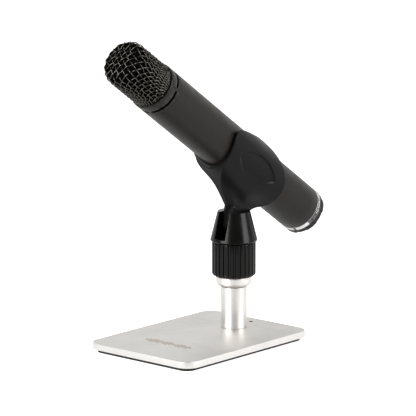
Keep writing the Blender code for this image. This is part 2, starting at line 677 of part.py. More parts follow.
def build_capsule(paint, mic_axis):
    stem_foot = VENT_START - 10.0
    neck_r = 7.0
    mount = turned([(0, stem_foot), (TUBE_BORE_R - GAP, stem_foot), (TUBE_BORE_R - GAP, stem_foot + 3.5),
                    (neck_r, stem_foot + 6.5), (neck_r - 1, 106.0), (0, 106.0)], 40)
    make_object("capsule_mount", mount, paint["black_abs"], mic_axis)
    make_object("capsule_isolator", disc(10.0, 106.3, 110.0, 32), paint["black_rubber"], mic_axis)
    case_r = 11.9
    case_bore = 10.7
    case_foot = 110.3
    case = turned([(0, case_foot), (case_r, case_foot), (case_r, 121.0), (case_bore, 121.0),
                   (case_bore, case_foot + 2.0), (0, case_foot + 2.0)], 40)
    make_object("capsule_case", case, paint["brass"], mic_axis)
    disc_r = case_bore - GAP
    make_object("capsule_backplate", disc(disc_r, 114.5, 117.0, 40), paint["brass"], mic_axis)
    make_object("diaphragm", disc(disc_r, 117.3, 117.6, 40), paint["gold"], mic_axis)
    make_object("capsule_ring", tube(disc_r, disc_r - 1.8, 117.9, 120.6, 40), paint["brass"], mic_axis)


def make_paint():
    finishes = {
        "black_rubber": ((0.012, 0.012, 0.012), 0.85, 0.0),
        "nickel_plate": ((0.66, 0.64, 0.61), 0.34, 1.0),
        "nickel_bar": ((0.82, 0.79, 0.76), 0.22, 1.0),
        "zinc": ((0.62, 0.62, 0.60), 0.35, 1.0),
        "black_abs": ((0.022, 0.021, 0.020), 0.42, 0.0),
        "brass": ((0.62, 0.45, 0.20), 0.35, 1.0),
        "black_steel": ((0.030, 0.030, 0.032), 0.38, 1.0),
        "black_nylon": ((0.026, 0.025, 0.024), 0.50, 0.0),
        "soft_rubber": ((0.024, 0.024, 0.024), 0.62, 0.0),
        "black_enamel": ((0.036, 0.035, 0.033), 0.42, 0.2),
        "satin_silver": ((0.72, 0.71, 0.69), 0.32, 1.0),
        "black_wire": ((0.030, 0.029, 0.028), 0.38, 0.4),
        "foam": ((0.010, 0.010, 0.010), 0.95, 0.0),
        "black_anodised": ((0.024, 0.024, 0.025), 0.35, 0.8),
        "gold": ((0.85, 0.64, 0.28), 0.25, 1.0),
        "board_green": ((0.02, 0.16, 0.07), 0.45, 0.0),
        "cast_alloy": ((0.55, 0.55, 0.55), 0.45, 1.0),
        "core_steel": ((0.35, 0.34, 0.33), 0.45, 1.0),
        "capacitor_sleeve": ((0.03, 0.05, 0.16), 0.35, 0.0),
        "battery_can": ((0.10, 0.10, 0.11), 0.35, 0.6),
    }
    return {name: make_material(name, *values) for name, values in finishes.items()}


def main():
    clear_scene()
    paint = make_paint()
    pan_axis = make_empty("pan_axis", (0, POST_Y, RING_TOP))
    tilt_axis = make_empty("tilt_axis", (0, 0, PIVOT_Z - RING_TOP), parent=pan_axis)
    mic_axis = make_empty("mic_axis", (0, -AXIS_AHEAD, AXIS_RISE), 90.0 - TILT_DEG, tilt_axis)
    build_stand(paint)
    build_swivel(paint, pan_axis)
    build_clip(paint, tilt_axis, mic_axis)
    build_shell(paint, mic_axis)
    build_lock_ring(paint, mic_axis)
    build_connector(paint, mic_axis)
    build_electronics(paint, mic_axis)
    build_battery(paint, mic_axis)
    build_capsule(paint, mic_axis)


main()
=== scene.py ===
"""Looks of the desktop microphone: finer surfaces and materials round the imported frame.

Lengths are in millimetres until a mesh is made. The microphone's frame has its z
along the tube towards the head (station 0 just ahead of the post) and its y up.
"""
import json
import math

import bmesh
import bpy
import numpy as np
from mathutils import Matrix, Vector


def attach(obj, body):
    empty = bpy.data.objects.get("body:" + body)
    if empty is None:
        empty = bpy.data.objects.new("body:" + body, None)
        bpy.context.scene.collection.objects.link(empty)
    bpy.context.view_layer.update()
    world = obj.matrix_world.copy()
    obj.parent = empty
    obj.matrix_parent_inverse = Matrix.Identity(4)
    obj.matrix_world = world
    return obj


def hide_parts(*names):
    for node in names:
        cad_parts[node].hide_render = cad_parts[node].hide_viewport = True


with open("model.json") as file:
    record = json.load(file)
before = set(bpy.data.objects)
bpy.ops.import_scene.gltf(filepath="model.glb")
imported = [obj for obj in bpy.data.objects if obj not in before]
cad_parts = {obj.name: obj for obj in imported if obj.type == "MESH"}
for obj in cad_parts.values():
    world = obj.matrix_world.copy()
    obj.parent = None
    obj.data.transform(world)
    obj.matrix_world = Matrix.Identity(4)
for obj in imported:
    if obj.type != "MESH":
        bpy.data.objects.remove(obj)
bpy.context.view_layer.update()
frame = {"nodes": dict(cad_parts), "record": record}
nodes = frame["nodes"]

MM = 0.001
POST_Y = 35.6
PIVOT_Z = 79.0
AXIS_Y = 34.6
AXIS_Z = 128.6
TILT_DEG = 34.5
STAND = Matrix.Identity(4)
POST = Matrix.Translation((0, POST_Y * MM, 0))
MIC = Matrix.Translation((0, AXIS_Y * MM, AXIS_Z * MM)) @ Matrix.Rotation(math.radians(90 - TILT_DEG), 4, "X")

PLATE_TOP = 7.0
COLLAR_R = 15.1
CONE_BOTTOM = 67.5
CONE_TOP = 88.5
SLOT_HALF = 4.6
SLOT_FLOOR = 70.3
CLIP_BORE_R = 16.95
CLIP_R = 19.6
CLIP_PEAK_DEG = 20.0
TUBE_R = 16.75
TUBE_BORE_R = 15.2
TUBE_TAIL = -84.3
TUBE_HEAD = 100.3


# ------------------------------------------------------------- node materials

class Graph:
    """Short way to write a material's nodes."""

    def __init__(self, name):
        self.material = bpy.data.materials.new(name)
        self.material.use_nodes = True
        self.tree = self.material.node_tree
        self.tree.nodes.clear()
        self.out = self.tree.nodes.new("ShaderNodeOutputMaterial")
        self.shader = self.tree.nodes.new("ShaderNodeBsdfPrincipled")
        self.join(self.shader.outputs[0], self.out.inputs["Surface"])
        self.coordinates = self.tree.nodes.new("ShaderNodeTexCoord").outputs["Object"]

    def join(self, source, target):
        self.tree.links.new(source, target)

    def put(self, target, value):
        if isinstance(value, bpy.types.NodeSocket):
            self.join(value, target)
        else:
            target.default_value = value

    def stretched(self, scale):
        node = self.tree.nodes.new("ShaderNodeMapping")
        self.join(self.coordinates, node.inputs["Vector"])
        node.inputs["Scale"].default_value = scale
        return node.outputs[0]

    def noise(self, scale, detail=3.0, rough=0.55, vector=None):
        node = self.tree.nodes.new("ShaderNodeTexNoise")
        self.join(vector or self.coordinates, node.inputs["Vector"])
        node.inputs["Scale"].default_value = scale
        node.inputs["Detail"].default_value = detail
        node.inputs["Roughness"].default_value = rough
        return node.outputs["Fac"]

    def cells(self, scale, feature="F1"):
        node = self.tree.nodes.new("ShaderNodeTexVoronoi")
        node.feature = feature
        self.join(self.coordinates, node.inputs["Vector"])
        node.inputs["Scale"].default_value = scale
        return node.outputs["Distance"]

    def span(self, value, low, high, to_low=0.0, to_high=1.0):
        node = self.tree.nodes.new("ShaderNodeMapRange")
        node.clamp = True
        self.put(node.inputs["Value"], value)
        for socket, number in zip(("From Min", "From Max", "To Min", "To Max"), (low, high, to_low, to_high)):
            node.inputs[socket].default_value = number
        return node.outputs[0]

    def math(self, operation, a, b=0.0):
        node = self.tree.nodes.new("ShaderNodeMath")
        node.operation = operation
        self.put(node.inputs[0], a)
        self.put(node.inputs[1], b)
        return node.outputs[0]

    def mix(self, share, first, second):
        node = self.tree.nodes.new("ShaderNodeMix")
        node.data_type = "RGBA"
        self.put(node.inputs["Factor"], share)
        for socket, value in ((node.inputs[6], first), (node.inputs[7], second)):
            if isinstance(value, bpy.types.NodeSocket):
                self.join(value, socket)
            else:
                socket.default_value = (*value, 1.0)
        return node.outputs[2]

    def edges(self, low=0.52, high=0.58):
        node = self.tree.nodes.new("ShaderNodeNewGeometry")
        return self.span(node.outputs["Pointiness"], low, high)

    def bump(self, height, distance, strength=1.0, below=None):
        node = self.tree.nodes.new("ShaderNodeBump")
        node.inputs["Strength"].default_value = strength
        node.inputs["Distance"].default_value = distance * MM
        self.join(height, node.inputs["Height"])
        if below is not None:
            self.join(below, node.inputs["Normal"])
        return node.outputs[0]

    def finish(self, colour, roughness, normal=None, **values):
        if isinstance(colour, tuple):
            colour = (*colour, 1.0)
        self.put(self.shader.inputs["Base Color"], colour)
        self.put(self.shader.inputs["Roughness"], roughness)
        if normal is not None:
            self.join(normal, self.shader.inputs["Normal"])
        for name, value in values.items():
            self.shader.inputs[name.replace("_", " ")].default_value = value
        return self.material


def shade(colour, factor):
    return tuple(min(1.0, c * factor) for c in colour)


def plastic(name, colour, rough=0.42, grain=900.0, depth=0.03, wear=0.35, **values):
    """Moulded plastic: fine spark-eroded grain, faint flow mottling, edges rubbed shinier and paler."""
    g = Graph(name)
    fine = g.noise(grain, 2.0, 0.6)
    cloud = g.noise(60.0, 4.0)
    dust = g.span(g.noise(2600.0, 1.0), 0.70, 0.78)
    rub = g.math("MULTIPLY", g.edges(), g.span(g.noise(240.0, 3.0), 0.35, 0.65, 0.3, 1.0))
    base = g.mix(g.span(cloud, 0.3, 0.7), shade(colour, 0.86), shade(colour, 1.14))
    base = g.mix(g.math("MULTIPLY", dust, 0.25), base, shade(colour, 2.2))
    base = g.mix(g.math("MULTIPLY", rub, wear), base, shade(colour, 2.4))
    worn = g.span(cloud, 0.25, 0.75, rough - 0.05, rough + 0.06)
    worn = g.math("SUBTRACT", worn, g.math("MULTIPLY", rub, 0.12))
    normal = g.bump(fine, depth)
    return g.finish(base, worn, normal, **values)


def metal(name, colour, rough=0.25, grain=1400.0, depth=0.01, brushed=None, wear=0.2, **values):
    """Plated or turned metal: fine grain or turning lines, cloudy roughness, a few hairlines."""
    g = Graph(name)
    lines = g.noise(grain, 2.0, 0.5, g.stretched(brushed) if brushed else None)
    cloud = g.noise(45.0, 4.0)
    smear = g.noise(210.0, 3.0)
    hair = g.span(g.noise(500.0, 2.0, 0.5, g.stretched((0.05, 1.0, 1.0))), 0.66, 0.70)
    rub = g.edges()
    base = g.mix(g.span(cloud, 0.3, 0.7), shade(colour, 0.95), shade(colour, 1.04))
    base = g.mix(g.math("MULTIPLY", hair, 0.25), base, shade(colour, 0.82))
    base = g.mix(g.math("MULTIPLY", rub, wear), base, shade(colour, 1.15))
    worn = g.span(smear, 0.3, 0.7, rough - 0.04, rough + 0.05)
    worn = g.math("ADD", worn, g.math("MULTIPLY", hair, 0.08))
    normal = g.bump(lines, depth)
    return g.finish(base, worn, normal, Metallic=1.0, **values)


def coated(name, colour, rough=0.40, grain=700.0, depth=0.05, wear=0.5, **values):
    """Baked enamel on metal: fine orange-peel speckle, with the metal just showing at rubbed edges."""
    g = Graph(name)
    speckle = g.cells(grain)
    fine = g.noise(grain * 2.2, 2.0)
    cloud = g.noise(38.0, 4.0)
    rub = g.math("MULTIPLY", g.edges(0.53, 0.62), g.span(g.noise(420.0, 3.0), 0.45, 0.62))
    base = g.mix(g.span(speckle, 0.1, 0.6), shade(colour, 0.80), shade(colour, 1.22))
    base = g.mix(g.span(cloud, 0.35, 0.7, 0.0, 0.35), base, shade(colour, 1.25))
    base = g.mix(g.math("MULTIPLY", rub, wear), base, (0.30, 0.29, 0.27))
    worn = g.span(g.noise(150.0, 3.0), 0.3, 0.7, rough - 0.05, rough + 0.06)
    normal = g.bump(fine, depth * 0.5, below=g.bump(speckle, depth))
    return g.finish(base, worn, normal, **values)


def rubber(name, colour, rough=0.8, depth=0.08, **values):
    """Matt rubber with a pebbled skin and a little dust in it."""
    g = Graph(name)
    pebbles = g.cells(520.0)
    cloud = g.noise(90.0, 4.0)
    base = g.mix(g.span(cloud, 0.3, 0.7), shade(colour, 0.8), shade(colour, 1.3))
    base = g.mix(g.span(g.noise(1800.0, 1.0), 0.66, 0.76, 0.0, 0.2), base, shade(colour, 3.0))
    worn = g.span(cloud, 0.3, 0.7, rough - 0.06, rough + 0.06)
    return g.finish(base, worn, g.bump(pebbles, depth), **values)


def sponge(name, colour):
    """Open-cell foam."""
    g = Graph(name)
    pores = g.cells(1500.0)
    base = g.mix(g.span(pores, 0.1, 0.5), shade(colour, 0.35), shade(colour, 1.5))
    return g.finish(base, g.span(pores, 0.0, 0.6, 0.85, 1.0), g.bump(pores, 0.35), IOR=1.05)


paint = {
    "black_rubber": rubber("black_rubber", (0.012, 0.012, 0.012), 0.82),
    "nickel_plate": metal("nickel_plate", (0.69, 0.675, 0.655), 0.44, 2200.0, 0.012),
    "nickel_bar": metal("nickel_bar", (0.95, 0.925, 0.895), 0.42, 900.0, 0.006, (0.08, 0.08, 6.0)),
    "zinc": metal("zinc", (0.62, 0.62, 0.60), 0.35, 900.0, 0.02),
    "black_abs": plastic("black_abs", (0.0026, 0.0024, 0.0022), 0.25, 1100.0, 0.02, IOR=1.34),
    "brass": metal("brass", (0.62, 0.45, 0.20), 0.32, 1000.0, 0.01, (1.0, 1.0, 0.1)),
    "black_steel": metal("black_steel", (0.045, 0.045, 0.047), 0.38, 900.0, 0.02),
    "black_nylon": plastic("black_nylon", (0.0026, 0.0024, 0.0026), 0.36, 1000.0, 0.03, IOR=1.27),
    "soft_rubber": rubber("soft_rubber", (0.0024, 0.0023, 0.0023), 0.42, 0.02, IOR=1.27),
    "black_enamel": coated("black_enamel", (0.0078, 0.0064, 0.0050), 0.40, 800.0, 0.03, IOR=1.38),
    "satin_silver": metal("satin_silver", (0.74, 0.72, 0.70), 0.34, 1200.0, 0.01, (0.1, 0.1, 5.0)),
    "black_wire": coated("black_wire", (0.080, 0.073, 0.063), 0.16, 1500.0, 0.006, 0.25, Metallic=1.0),
    "foam": sponge("foam", (0.0015, 0.0015, 0.0015)),
    "black_anodised": metal("black_anodised", (0.050, 0.049, 0.048), 0.36, 1200.0, 0.012, (0.2, 0.2, 4.0)),
    "gold": metal("gold", (0.85, 0.64, 0.28), 0.22, 1200.0, 0.006),
    "board_green": plastic("board_green", (0.02, 0.16, 0.07), 0.42, 300.0, 0.05),
    "cast_alloy": metal("cast_alloy", (0.55, 0.55, 0.55), 0.48, 500.0, 0.05),
    "core_steel": metal("core_steel", (0.35, 0.34, 0.33), 0.45, 1500.0, 0.03, (1.0, 0.05, 1.0)),
    "capacitor_sleeve": plastic("capacitor_sleeve", (0.03, 0.05, 0.16), 0.30, 800.0, 0.01),
    "battery_can": coated("battery_can", (0.10, 0.10, 0.11), 0.33, 900.0, 0.01),
}
paint["grey_print"] = coated("grey_print", (0.085, 0.085, 0.10), 0.35, 1500.0, 0.008, 0.2)
paint["white_print"] = coated("white_print", (0.92, 0.91, 0.90), 0.35, 1500.0, 0.008, 0.05)
paint["etched_mark"] = metal("etched_mark", (0.45, 0.395, 0.335), 0.50, 2600.0, 0.02)
# A black that hardly reflects, put where there is only shade: painted shade in the plate's pin hole, under
# the post's flange, on the vent slots' walls and on the sleeve just inside them
paint["painted_shade_black"] = rubber("painted_shade_black", (0.0012, 0.0012, 0.0012), 0.9, 0.02, IOR=1.05)
slot_of = {entry["node"]: entry["material_slot"] for entry in frame["record"]["subparts"]}


# ------------------------------------------------------------- mesh helpers

def piece(name, mesh_data, place, body, material, stands_for=(), smooth_deg=35.0, normals=None):
    """Make an object from (points in mm, faces), set it on its body and give it its finish."""
    points, faces = mesh_data
    mesh = bpy.data.meshes.new(name)
    mesh.from_pydata((np.asarray(points, float) * MM).tolist(), [], faces)
    mesh.update()
    mesh.shade_smooth()
    if normals is not None:
        mesh.normals_split_custom_set_from_vertices(normals.tolist())
    elif smooth_deg < 180:
        mesh.set_sharp_from_angle(angle=math.radians(smooth_deg))
    mesh.materials.append(paint[material])
    item = bpy.data.objects.new(name, mesh)
    bpy.context.scene.collection.objects.link(item)
    item.matrix_world = place
    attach(item, body)
    if stands_for:
        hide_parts(*stands_for)
    return item


def skin(rings, loop_rings=False, cap_first=False, cap_last=False, closed=True):
    """Quads over equal rings of points; faces point outwards for rings anticlockwise seen from their end."""
    rings = np.asarray(rings, float)
    count, sides = rings.shape[:2]
    faces = []
    rows = count if loop_rings else count - 1
    columns = sides if closed else sides - 1
    for r in range(rows):
        here, there = r * sides, (r + 1) % count * sides
        for i in range(columns):
            j = (i + 1) % sides
            faces.append((here + i, here + j, there + j, there + i))
    if cap_first:
        faces.append(tuple(range(sides - 1, -1, -1)))
    if cap_last:
        faces.append(tuple(range((count - 1) * sides, count * sides)))
    return rings.reshape(-1, 3), faces


def merge(*parts):
    points, faces, start = [], [], 0
    for part_points, part_faces in parts:
        part_points = np.asarray(part_points, float).reshape(-1, 3)
        points.append(part_points)
        faces += [tuple(start + i for i in face) for face in part_faces]
        start += len(part_points)
    return np.concatenate(points), faces


def softened(outline, closed=True, steps=4):
    """Round the corners of an outline of (x, y, cut): each cut is the length taken off both edges."""
    result = []
    count = len(outline)
    for i, (x, y, cut) in enumerate(outline):
        here = np.array((x, y), float)
        if cut <= 0 or (not closed and i in (0, count - 1)):
            result.append(here)
            continue
        ends = []
        for other in (outline[i - 1], outline[(i + 1) % count]):
            way = np.array(other[:2], float) - here
            length = np.linalg.norm(way)
            ends.append(here + way / length * min(cut, length * 0.5))
        for t in np.linspace(0, 1, steps + 1):
            result.append((1 - t) ** 2 * ends[0] + 2 * t * (1 - t) * here + t * t * ends[1])
    return np.array(result)


def circle(radius, turn, z):
    """Points about z, one for each turn; the radius may differ from one to the next."""
    return np.stack([radius * np.cos(turn), radius * np.sin(turn), np.full(len(turn), z)], -1)


def ease(share):
    """A share from 0 to 1 with a soft start and a soft end."""
    return share * share * (3 - 2 * share)


def lathe(profile, sides=96):
    """Solid of revolution about z from (radius, z) points, going up the outside and down the inside."""
    profile = np.asarray(profile, float)
    turn = np.arange(sides) * 2 * math.pi / sides
    rings = [circle(r, turn, z) for r, z in profile if r > 0]
    bored = bool(np.all(profile[:, 0] > 0))
    return skin(rings, loop_rings=bored, cap_first=not bored, cap_last=not bored)


def rounded_rectangle(width, depth, radius, z, steps=12):
    points = []
    for quarter, (sx, sy) in enumerate(((1, 1), (-1, 1), (-1, -1), (1, -1))):
        for i in range(steps + 1):
            a = math.pi / 2 * (quarter + i / steps)
            points.append((sx * (width / 2 - radius) + radius * math.cos(a),
                           sy * (depth / 2 - radius) + radius * math.sin(a), z))
    return np.array(points)


def slab(width, depth, corner, z0, z1, low_edge, top_edge, steps=12):
    """Outlines, from the bottom up, of a plate with round corners and rounded edges."""
    levels = [(z0 + low_edge * (1 - math.cos(a)), low_edge * (1 - math.sin(a)))
              for a in np.linspace(0, math.pi / 2, 5)]
    levels += [(z1 - top_edge * (1 - math.sin(a)), top_edge * (1 - math.cos(a)))
               for a in np.linspace(0, math.pi / 2, 6)]
    return [rounded_rectangle(width - 2 * inset, depth - 2 * inset, corner - inset, z, steps)
            for z, inset in levels]


def spline(knots):
    """Natural cubic through (x, y) knots, as a function of an array of x."""
    xs, ys = (np.array(column, float) for column in zip(*knots))
    gaps = np.diff(xs)
    slopes = np.diff(ys) / gaps
    count = len(xs)
    system = np.eye(count)
    right = np.zeros(count)
    for i in range(1, count - 1):
        system[i, i - 1:i + 2] = gaps[i - 1], 2 * (gaps[i - 1] + gaps[i]), gaps[i]
        right[i] = 3 * (slopes[i] - slopes[i - 1])
    bend = np.linalg.solve(system, right)

    def value(x):
        x = np.asarray(x, float)
        i = np.clip(np.searchsorted(xs, x) - 1, 0, count - 2)
        step = x - xs[i]
        first = slopes[i] - gaps[i] * (2 * bend[i] + bend[i + 1]) / 3
        third = (bend[i + 1] - bend[i]) / (3 * gaps[i])
        return ys[i] + step * (first + step * (bend[i] + step * third))

    return value


# ------------------------------------------------------------- distance fields

def outline_distance(points, outline):
    """Signed distance, negative inside, from 2-D points to a closed outline."""
    points = np.asarray(points, float)
    best = np.full(len(points), 1e9)
    inside = np.zeros(len(points), bool)
    outline = np.asarray(outline, float)
    for a, b in zip(outline, np.roll(outline, -1, axis=0)):
        edge = b - a
        length2 = float(edge @ edge)
        if length2 < 1e-12:
            continue
        t = np.clip(((points - a) @ edge) / length2, 0, 1)
        gap = points - a - t[:, None] * edge
        best = np.minimum(best, np.einsum("ij,ij->i", gap, gap))
        crosses = (a[1] > points[:, 1]) != (b[1] > points[:, 1])
        if edge[1] != 0:
            x = a[0] + (points[:, 1] - a[1]) / edge[1] * edge[0]
            inside ^= crosses & (points[:, 0] < x)
    return np.sqrt(best) * np.where(inside, -1, 1)


class Table:
    """Signed distance to an outline, kept on a grid and read between its points."""

    def __init__(self, outline, low, high, step):
        self.low, self.step = np.array(low, float), step
        self.shape = tuple(int(math.ceil((b - a) / step)) + 2 for a, b in zip(low, high))
        axes = [a + np.arange(n) * step for a, n in zip(low, self.shape)]
        first, second = np.meshgrid(*axes, indexing="ij")
        flat = np.stack([first.ravel(), second.ravel()], -1)
        self.values = outline_distance(flat, outline).reshape(self.shape)

    def __call__(self, a, b):
        i = (a - self.low[0]) / self.step
        j = (b - self.low[1]) / self.step
        i = np.clip(i, 0, self.shape[0] - 1.001)
        j = np.clip(j, 0, self.shape[1] - 1.001)
        m, n = i.astype(int), j.astype(int)
        u, v = i - m, j - n
        grid = self.values
        return ((1 - u) * ((1 - v) * grid[m, n] + v * grid[m, n + 1])
                + u * ((1 - v) * grid[m + 1, n] + v * grid[m + 1, n + 1]))


def both(a, b, edge=0.4):
    """Intersection of two fields with the edge between them rounded."""
    u, v = a + edge, b + edge
    return np.minimum(np.maximum(u, v), 0) + np.hypot(np.maximum(u, 0), np.maximum(v, 0)) - edge


def either(a, b, fillet=0.0):
    """Union of two fields with the valley between them filled."""
    if np.ndim(fillet) == 0 and fillet <= 0:
        return np.minimum(a, b)
    h = np.maximum(fillet - np.abs(a - b), 0) / fillet
    return np.minimum(a, b) - h * h * fillet / 4


def surface_of(field, low, high, step):
    """Smooth mesh of a field's zero surface on a grid, with its points moved onto the surface."""
    axes = [np.arange(a, b + step, step) for a, b in zip(low, high)]
    grid = np.stack(np.meshgrid(*axes, indexing="ij"), -1)
    values = field(grid.reshape(-1, 3)).reshape(grid.shape[:3])
    inside = values < 0
    cells = tuple(n - 1 for n in values.shape)
    total = np.zeros((*values.shape, 3))
    hits = np.zeros(values.shape)
    crossings = []
    for axis in range(3):
        lower = [slice(None)] * 3
        upper = [slice(None)] * 3
        lower[axis], upper[axis] = slice(0, -1), slice(1, None)
        flip = inside[tuple(lower)] != inside[tuple(upper)]
        where = np.argwhere(flip)
        near = where.copy()
        far = where.copy()
        far[:, axis] += 1
        v0, v1 = values[tuple(near.T)], values[tuple(far.T)]
        at = grid[tuple(near.T)] + (v0 / (v0 - v1))[:, None] * (grid[tuple(far.T)] - grid[tuple(near.T)])
        others = [k for k in range(3) if k != axis]
        corner_cells = []
        for da, db in ((0, 0), (1, 0), (1, 1), (0, 1)):
            cell = where.copy()
            cell[:, others[0]] -= da
            cell[:, others[1]] -= db
            corner_cells.append(cell)
            ok = np.all(cell >= 0, axis=1)
            np.add.at(total, tuple(cell[ok].T), at[ok])
            np.add.at(hits, tuple(cell[ok].T), 1)
        crossings.append((axis, inside[tuple(near.T)], corner_cells))
    used = hits > 0
    number = np.full(values.shape, -1)
    number[used] = np.arange(int(used.sum()))
    points = total[used] / hits[used][:, None]
    faces = []
    for axis, solid_first, corners in crossings:
        quad = np.stack([number[tuple(c.T)] for c in corners], -1)
        ok = np.all([np.all((c >= 0) & (c < np.array(cells)), axis=1) for c in corners], axis=0)
        quad, solid = quad[ok], solid_first[ok]
        if axis == 1:
            solid = ~solid
        quad = np.where(solid[:, None], quad, quad[:, ::-1])
        faces += [tuple(int(i) for i in q) for q in quad]
    for _ in range(4):
        value, slope = field(points), gradient(field, points)
        step_by = value / np.maximum(np.einsum("ij,ij->i", slope, slope), 0.2)
        points = points - np.clip(step_by, -step / 2, step / 2)[:, None] * slope
    normals = gradient(field, points)
    normals /= np.linalg.norm(normals, axis=1, keepdims=True) + 1e-12
    return (points, faces), normals


def gradient(field, points, reach=0.05):
    parts = []
    for axis in range(3):
        offset = np.zeros(3)
        offset[axis] = reach
        parts.append((field(points + offset) - field(points - offset)) / (2 * reach))
    return np.stack(parts, -1)


# ------------------------------------------------------------- stand

PLATE_WIDTH = 92.0
PLATE_DEPTH = 127.0
PLATE_CORNER = 10.0
PLATE_BOTTOM = 2.55
HOLE_DEPTH = 3.0
# A row of plain bars like a sound wave, where the real plate has its mark
MARK_CENTRE = (-1.0, -31.0)
MARK_BARS = (2.5, 4.5, 7.5, 8.0, 5.5, 7.0, 3.5, 6.5, 8.0, 6.0, 3.0, 5.0, 7.5, 8.0, 5.0, 6.5, 3.0)
MARK_STEP = 2.45
MARK_WIDTH = 1.55
MARK_SHAPE = ((1, -0.8), (1, 0.8), (0.6, 1), (-0.6, 1), (-1, 0.8), (-1, -0.8), (-0.6, -1), (0.6, -1))


def make_stand():
    rings = slab(PLATE_WIDTH, PLATE_DEPTH, PLATE_CORNER, PLATE_BOTTOM, PLATE_TOP, 0.3, 0.35)
    walls = skin(rings, cap_first=True)
    bm = bmesh.new()
    hole_r, hole_y, hole_sides = 1.3, 54.0, 24
    rim = [bm.verts.new(p) for p in rings[-1]]
    turn = [2 * math.pi * i / hole_sides for i in range(hole_sides)]
    mouth = [bm.verts.new(((hole_r + 0.15) * math.cos(a), hole_y + (hole_r + 0.15) * math.sin(a), PLATE_TOP))
             for a in turn]
    edges = [bm.edges.new((loop[i], loop[(i + 1) % len(loop)]))
             for loop in (rim, mouth) for i in range(len(loop))]
    bmesh.ops.triangle_fill(bm, edges=edges, use_beauty=True, normal=(0, 0, 1))
    bmesh.ops.recalc_face_normals(bm, faces=bm.faces)
    if sum(f.normal.z for f in bm.faces) < 0:
        bmesh.ops.reverse_faces(bm, faces=bm.faces)
    bm.verts.index_update()
    top = ([v.co[:] for v in bm.verts], [tuple(v.index for v in f.verts) for f in bm.faces])
    bm.free()
    hole = skin([[(r * math.cos(a), hole_y + r * math.sin(a), z) for a in turn]
                 for r, z in ((hole_r + 0.15, PLATE_TOP), (hole_r, PLATE_TOP - 0.15),
                              (hole_r, PLATE_TOP - HOLE_DEPTH))])
    hole = (hole[0], [face[::-1] for face in hole[1]])
    floor = ([(hole_r * math.cos(a), hole_y + hole_r * math.sin(a), PLATE_TOP - HOLE_DEPTH) for a in turn],
             [tuple(range(hole_sides))])
    plate = piece("table_plate", merge(walls, top, hole, floor), STAND, "stand", "nickel_plate",
                  ["base_plate"], 30)
    plate.data.materials.append(paint["nickel_bar"])
    plate.data.materials.append(paint["painted_shade_black"])
    rim_faces, top_faces = len(walls[1]) - 1, len(top[1])
    for index, face in enumerate(plate.data.polygons):
        if index < rim_faces:
            face.material_index = 1
        # The pin hole's wall and floor take the shade black: painted shade inside the hole
        elif index > rim_faces + top_faces:
            face.material_index = 2

    pad = slab(85.0, 120.0, 6.5, 0.0, 2.25, 0.3, 0.3)
    piece("plate_pad", skin(pad, cap_first=True, cap_last=True), STAND, "stand", "black_rubber", ["base_pad"])

    bars = []
    for k, height in enumerate(MARK_BARS):
        x = MARK_CENTRE[0] + (k - (len(MARK_BARS) - 1) / 2) * MARK_STEP
        outline = [(x + MARK_WIDTH / 2 * a, MARK_CENTRE[1] + height / 2 * b) for a, b in MARK_SHAPE]
        bars.append(skin([[(u, v, z) for u, v in outline]
                          for z in (PLATE_TOP - 0.05, PLATE_TOP + 0.03)], cap_last=True))
    piece("plate_mark", merge(*bars), STAND, "stand", "nickel_plate").data.materials[0] = paint["etched_mark"]

    post = softened([(3.3, 7.1, 0), (9.1, 7.1, 0.25), (9.1, 35.9, 0.3), (7.9, 35.9, 0), (7.9, 57.0, 0.8),
                     (1.0, 57.0, 0), (1.0, 22.0, 0), (3.3, 21.0, 0)])
    piece("post_bar", lathe(post, 96), POST, "stand", "nickel_bar", ["post"])
    ring = softened([(8.2, 36.6, 0.2), (11.0, 36.6, 0.9), (12.4, 38.4, 1.0), (12.4, 43.0, 0.6),
                     (8.2, 43.0, 0.2)], steps=6)
    # A thin black ring where the flange meets the post: painted shadow for the dark line under the flange
    shadow_line = softened([(8.0, 36.0, 0), (9.3, 36.0, 0.1), (9.3, 36.55, 0.1), (8.0, 36.55, 0)])
    piece("flange_shadow_line", lathe(shadow_line, 96), POST, "stand", "nickel_bar").data.materials[0] = paint["painted_shade_black"]
    piece("post_flange", lathe(ring, 96), POST, "stand", "nickel_bar", ["post_ring"], 40)


# ------------------------------------------------------------- swivel

RIBS = 26
PER_RIB = 20
RIB_PHASE = 0.40
RIB_LIFT = 0.8
RECESS_R = 4.5
BOLT_WAY_R = 2.8


def rib_levels():
    """Ribbed collar: flat crests with rounded shoulders, a chamfer at the foot and a soft top edge."""
    samples = RIBS * PER_RIB
    turn = np.arange(samples) * 2 * math.pi / samples
    phase = (np.arange(samples) / PER_RIB - RIB_PHASE) % 1.0
    rise = np.clip((phase - 0.28) / 0.12, 0, 1) * np.clip((1.0 - phase) / 0.12, 0, 1)
    rise = ease(rise)
    groove, crest = COLLAR_R - RIB_LIFT, COLLAR_R
    rings = []
    for z, take, depth in ((43.3, 1.0, 0.0), (43.45, 0.75, 0.2), (44.1, 0.25, 0.7), (44.9, 0.0, 1.0),
                           (46.5, 0.0, 1.0), (56.0, 0.0, 1.0), (66.2, 0.0, 1.0), (66.9, 0.12, 0.9),
                           (67.2, 0.5, 0.5)):
        radius = groove + (crest - groove) * rise * depth - take
        rings.append(circle(radius, turn, z))
    rings += [circle(r, turn, z) for r, z in ((12.6, 67.2), (12.4, 67.0), (12.4, 43.5), (12.6, 43.3))]
    return rings


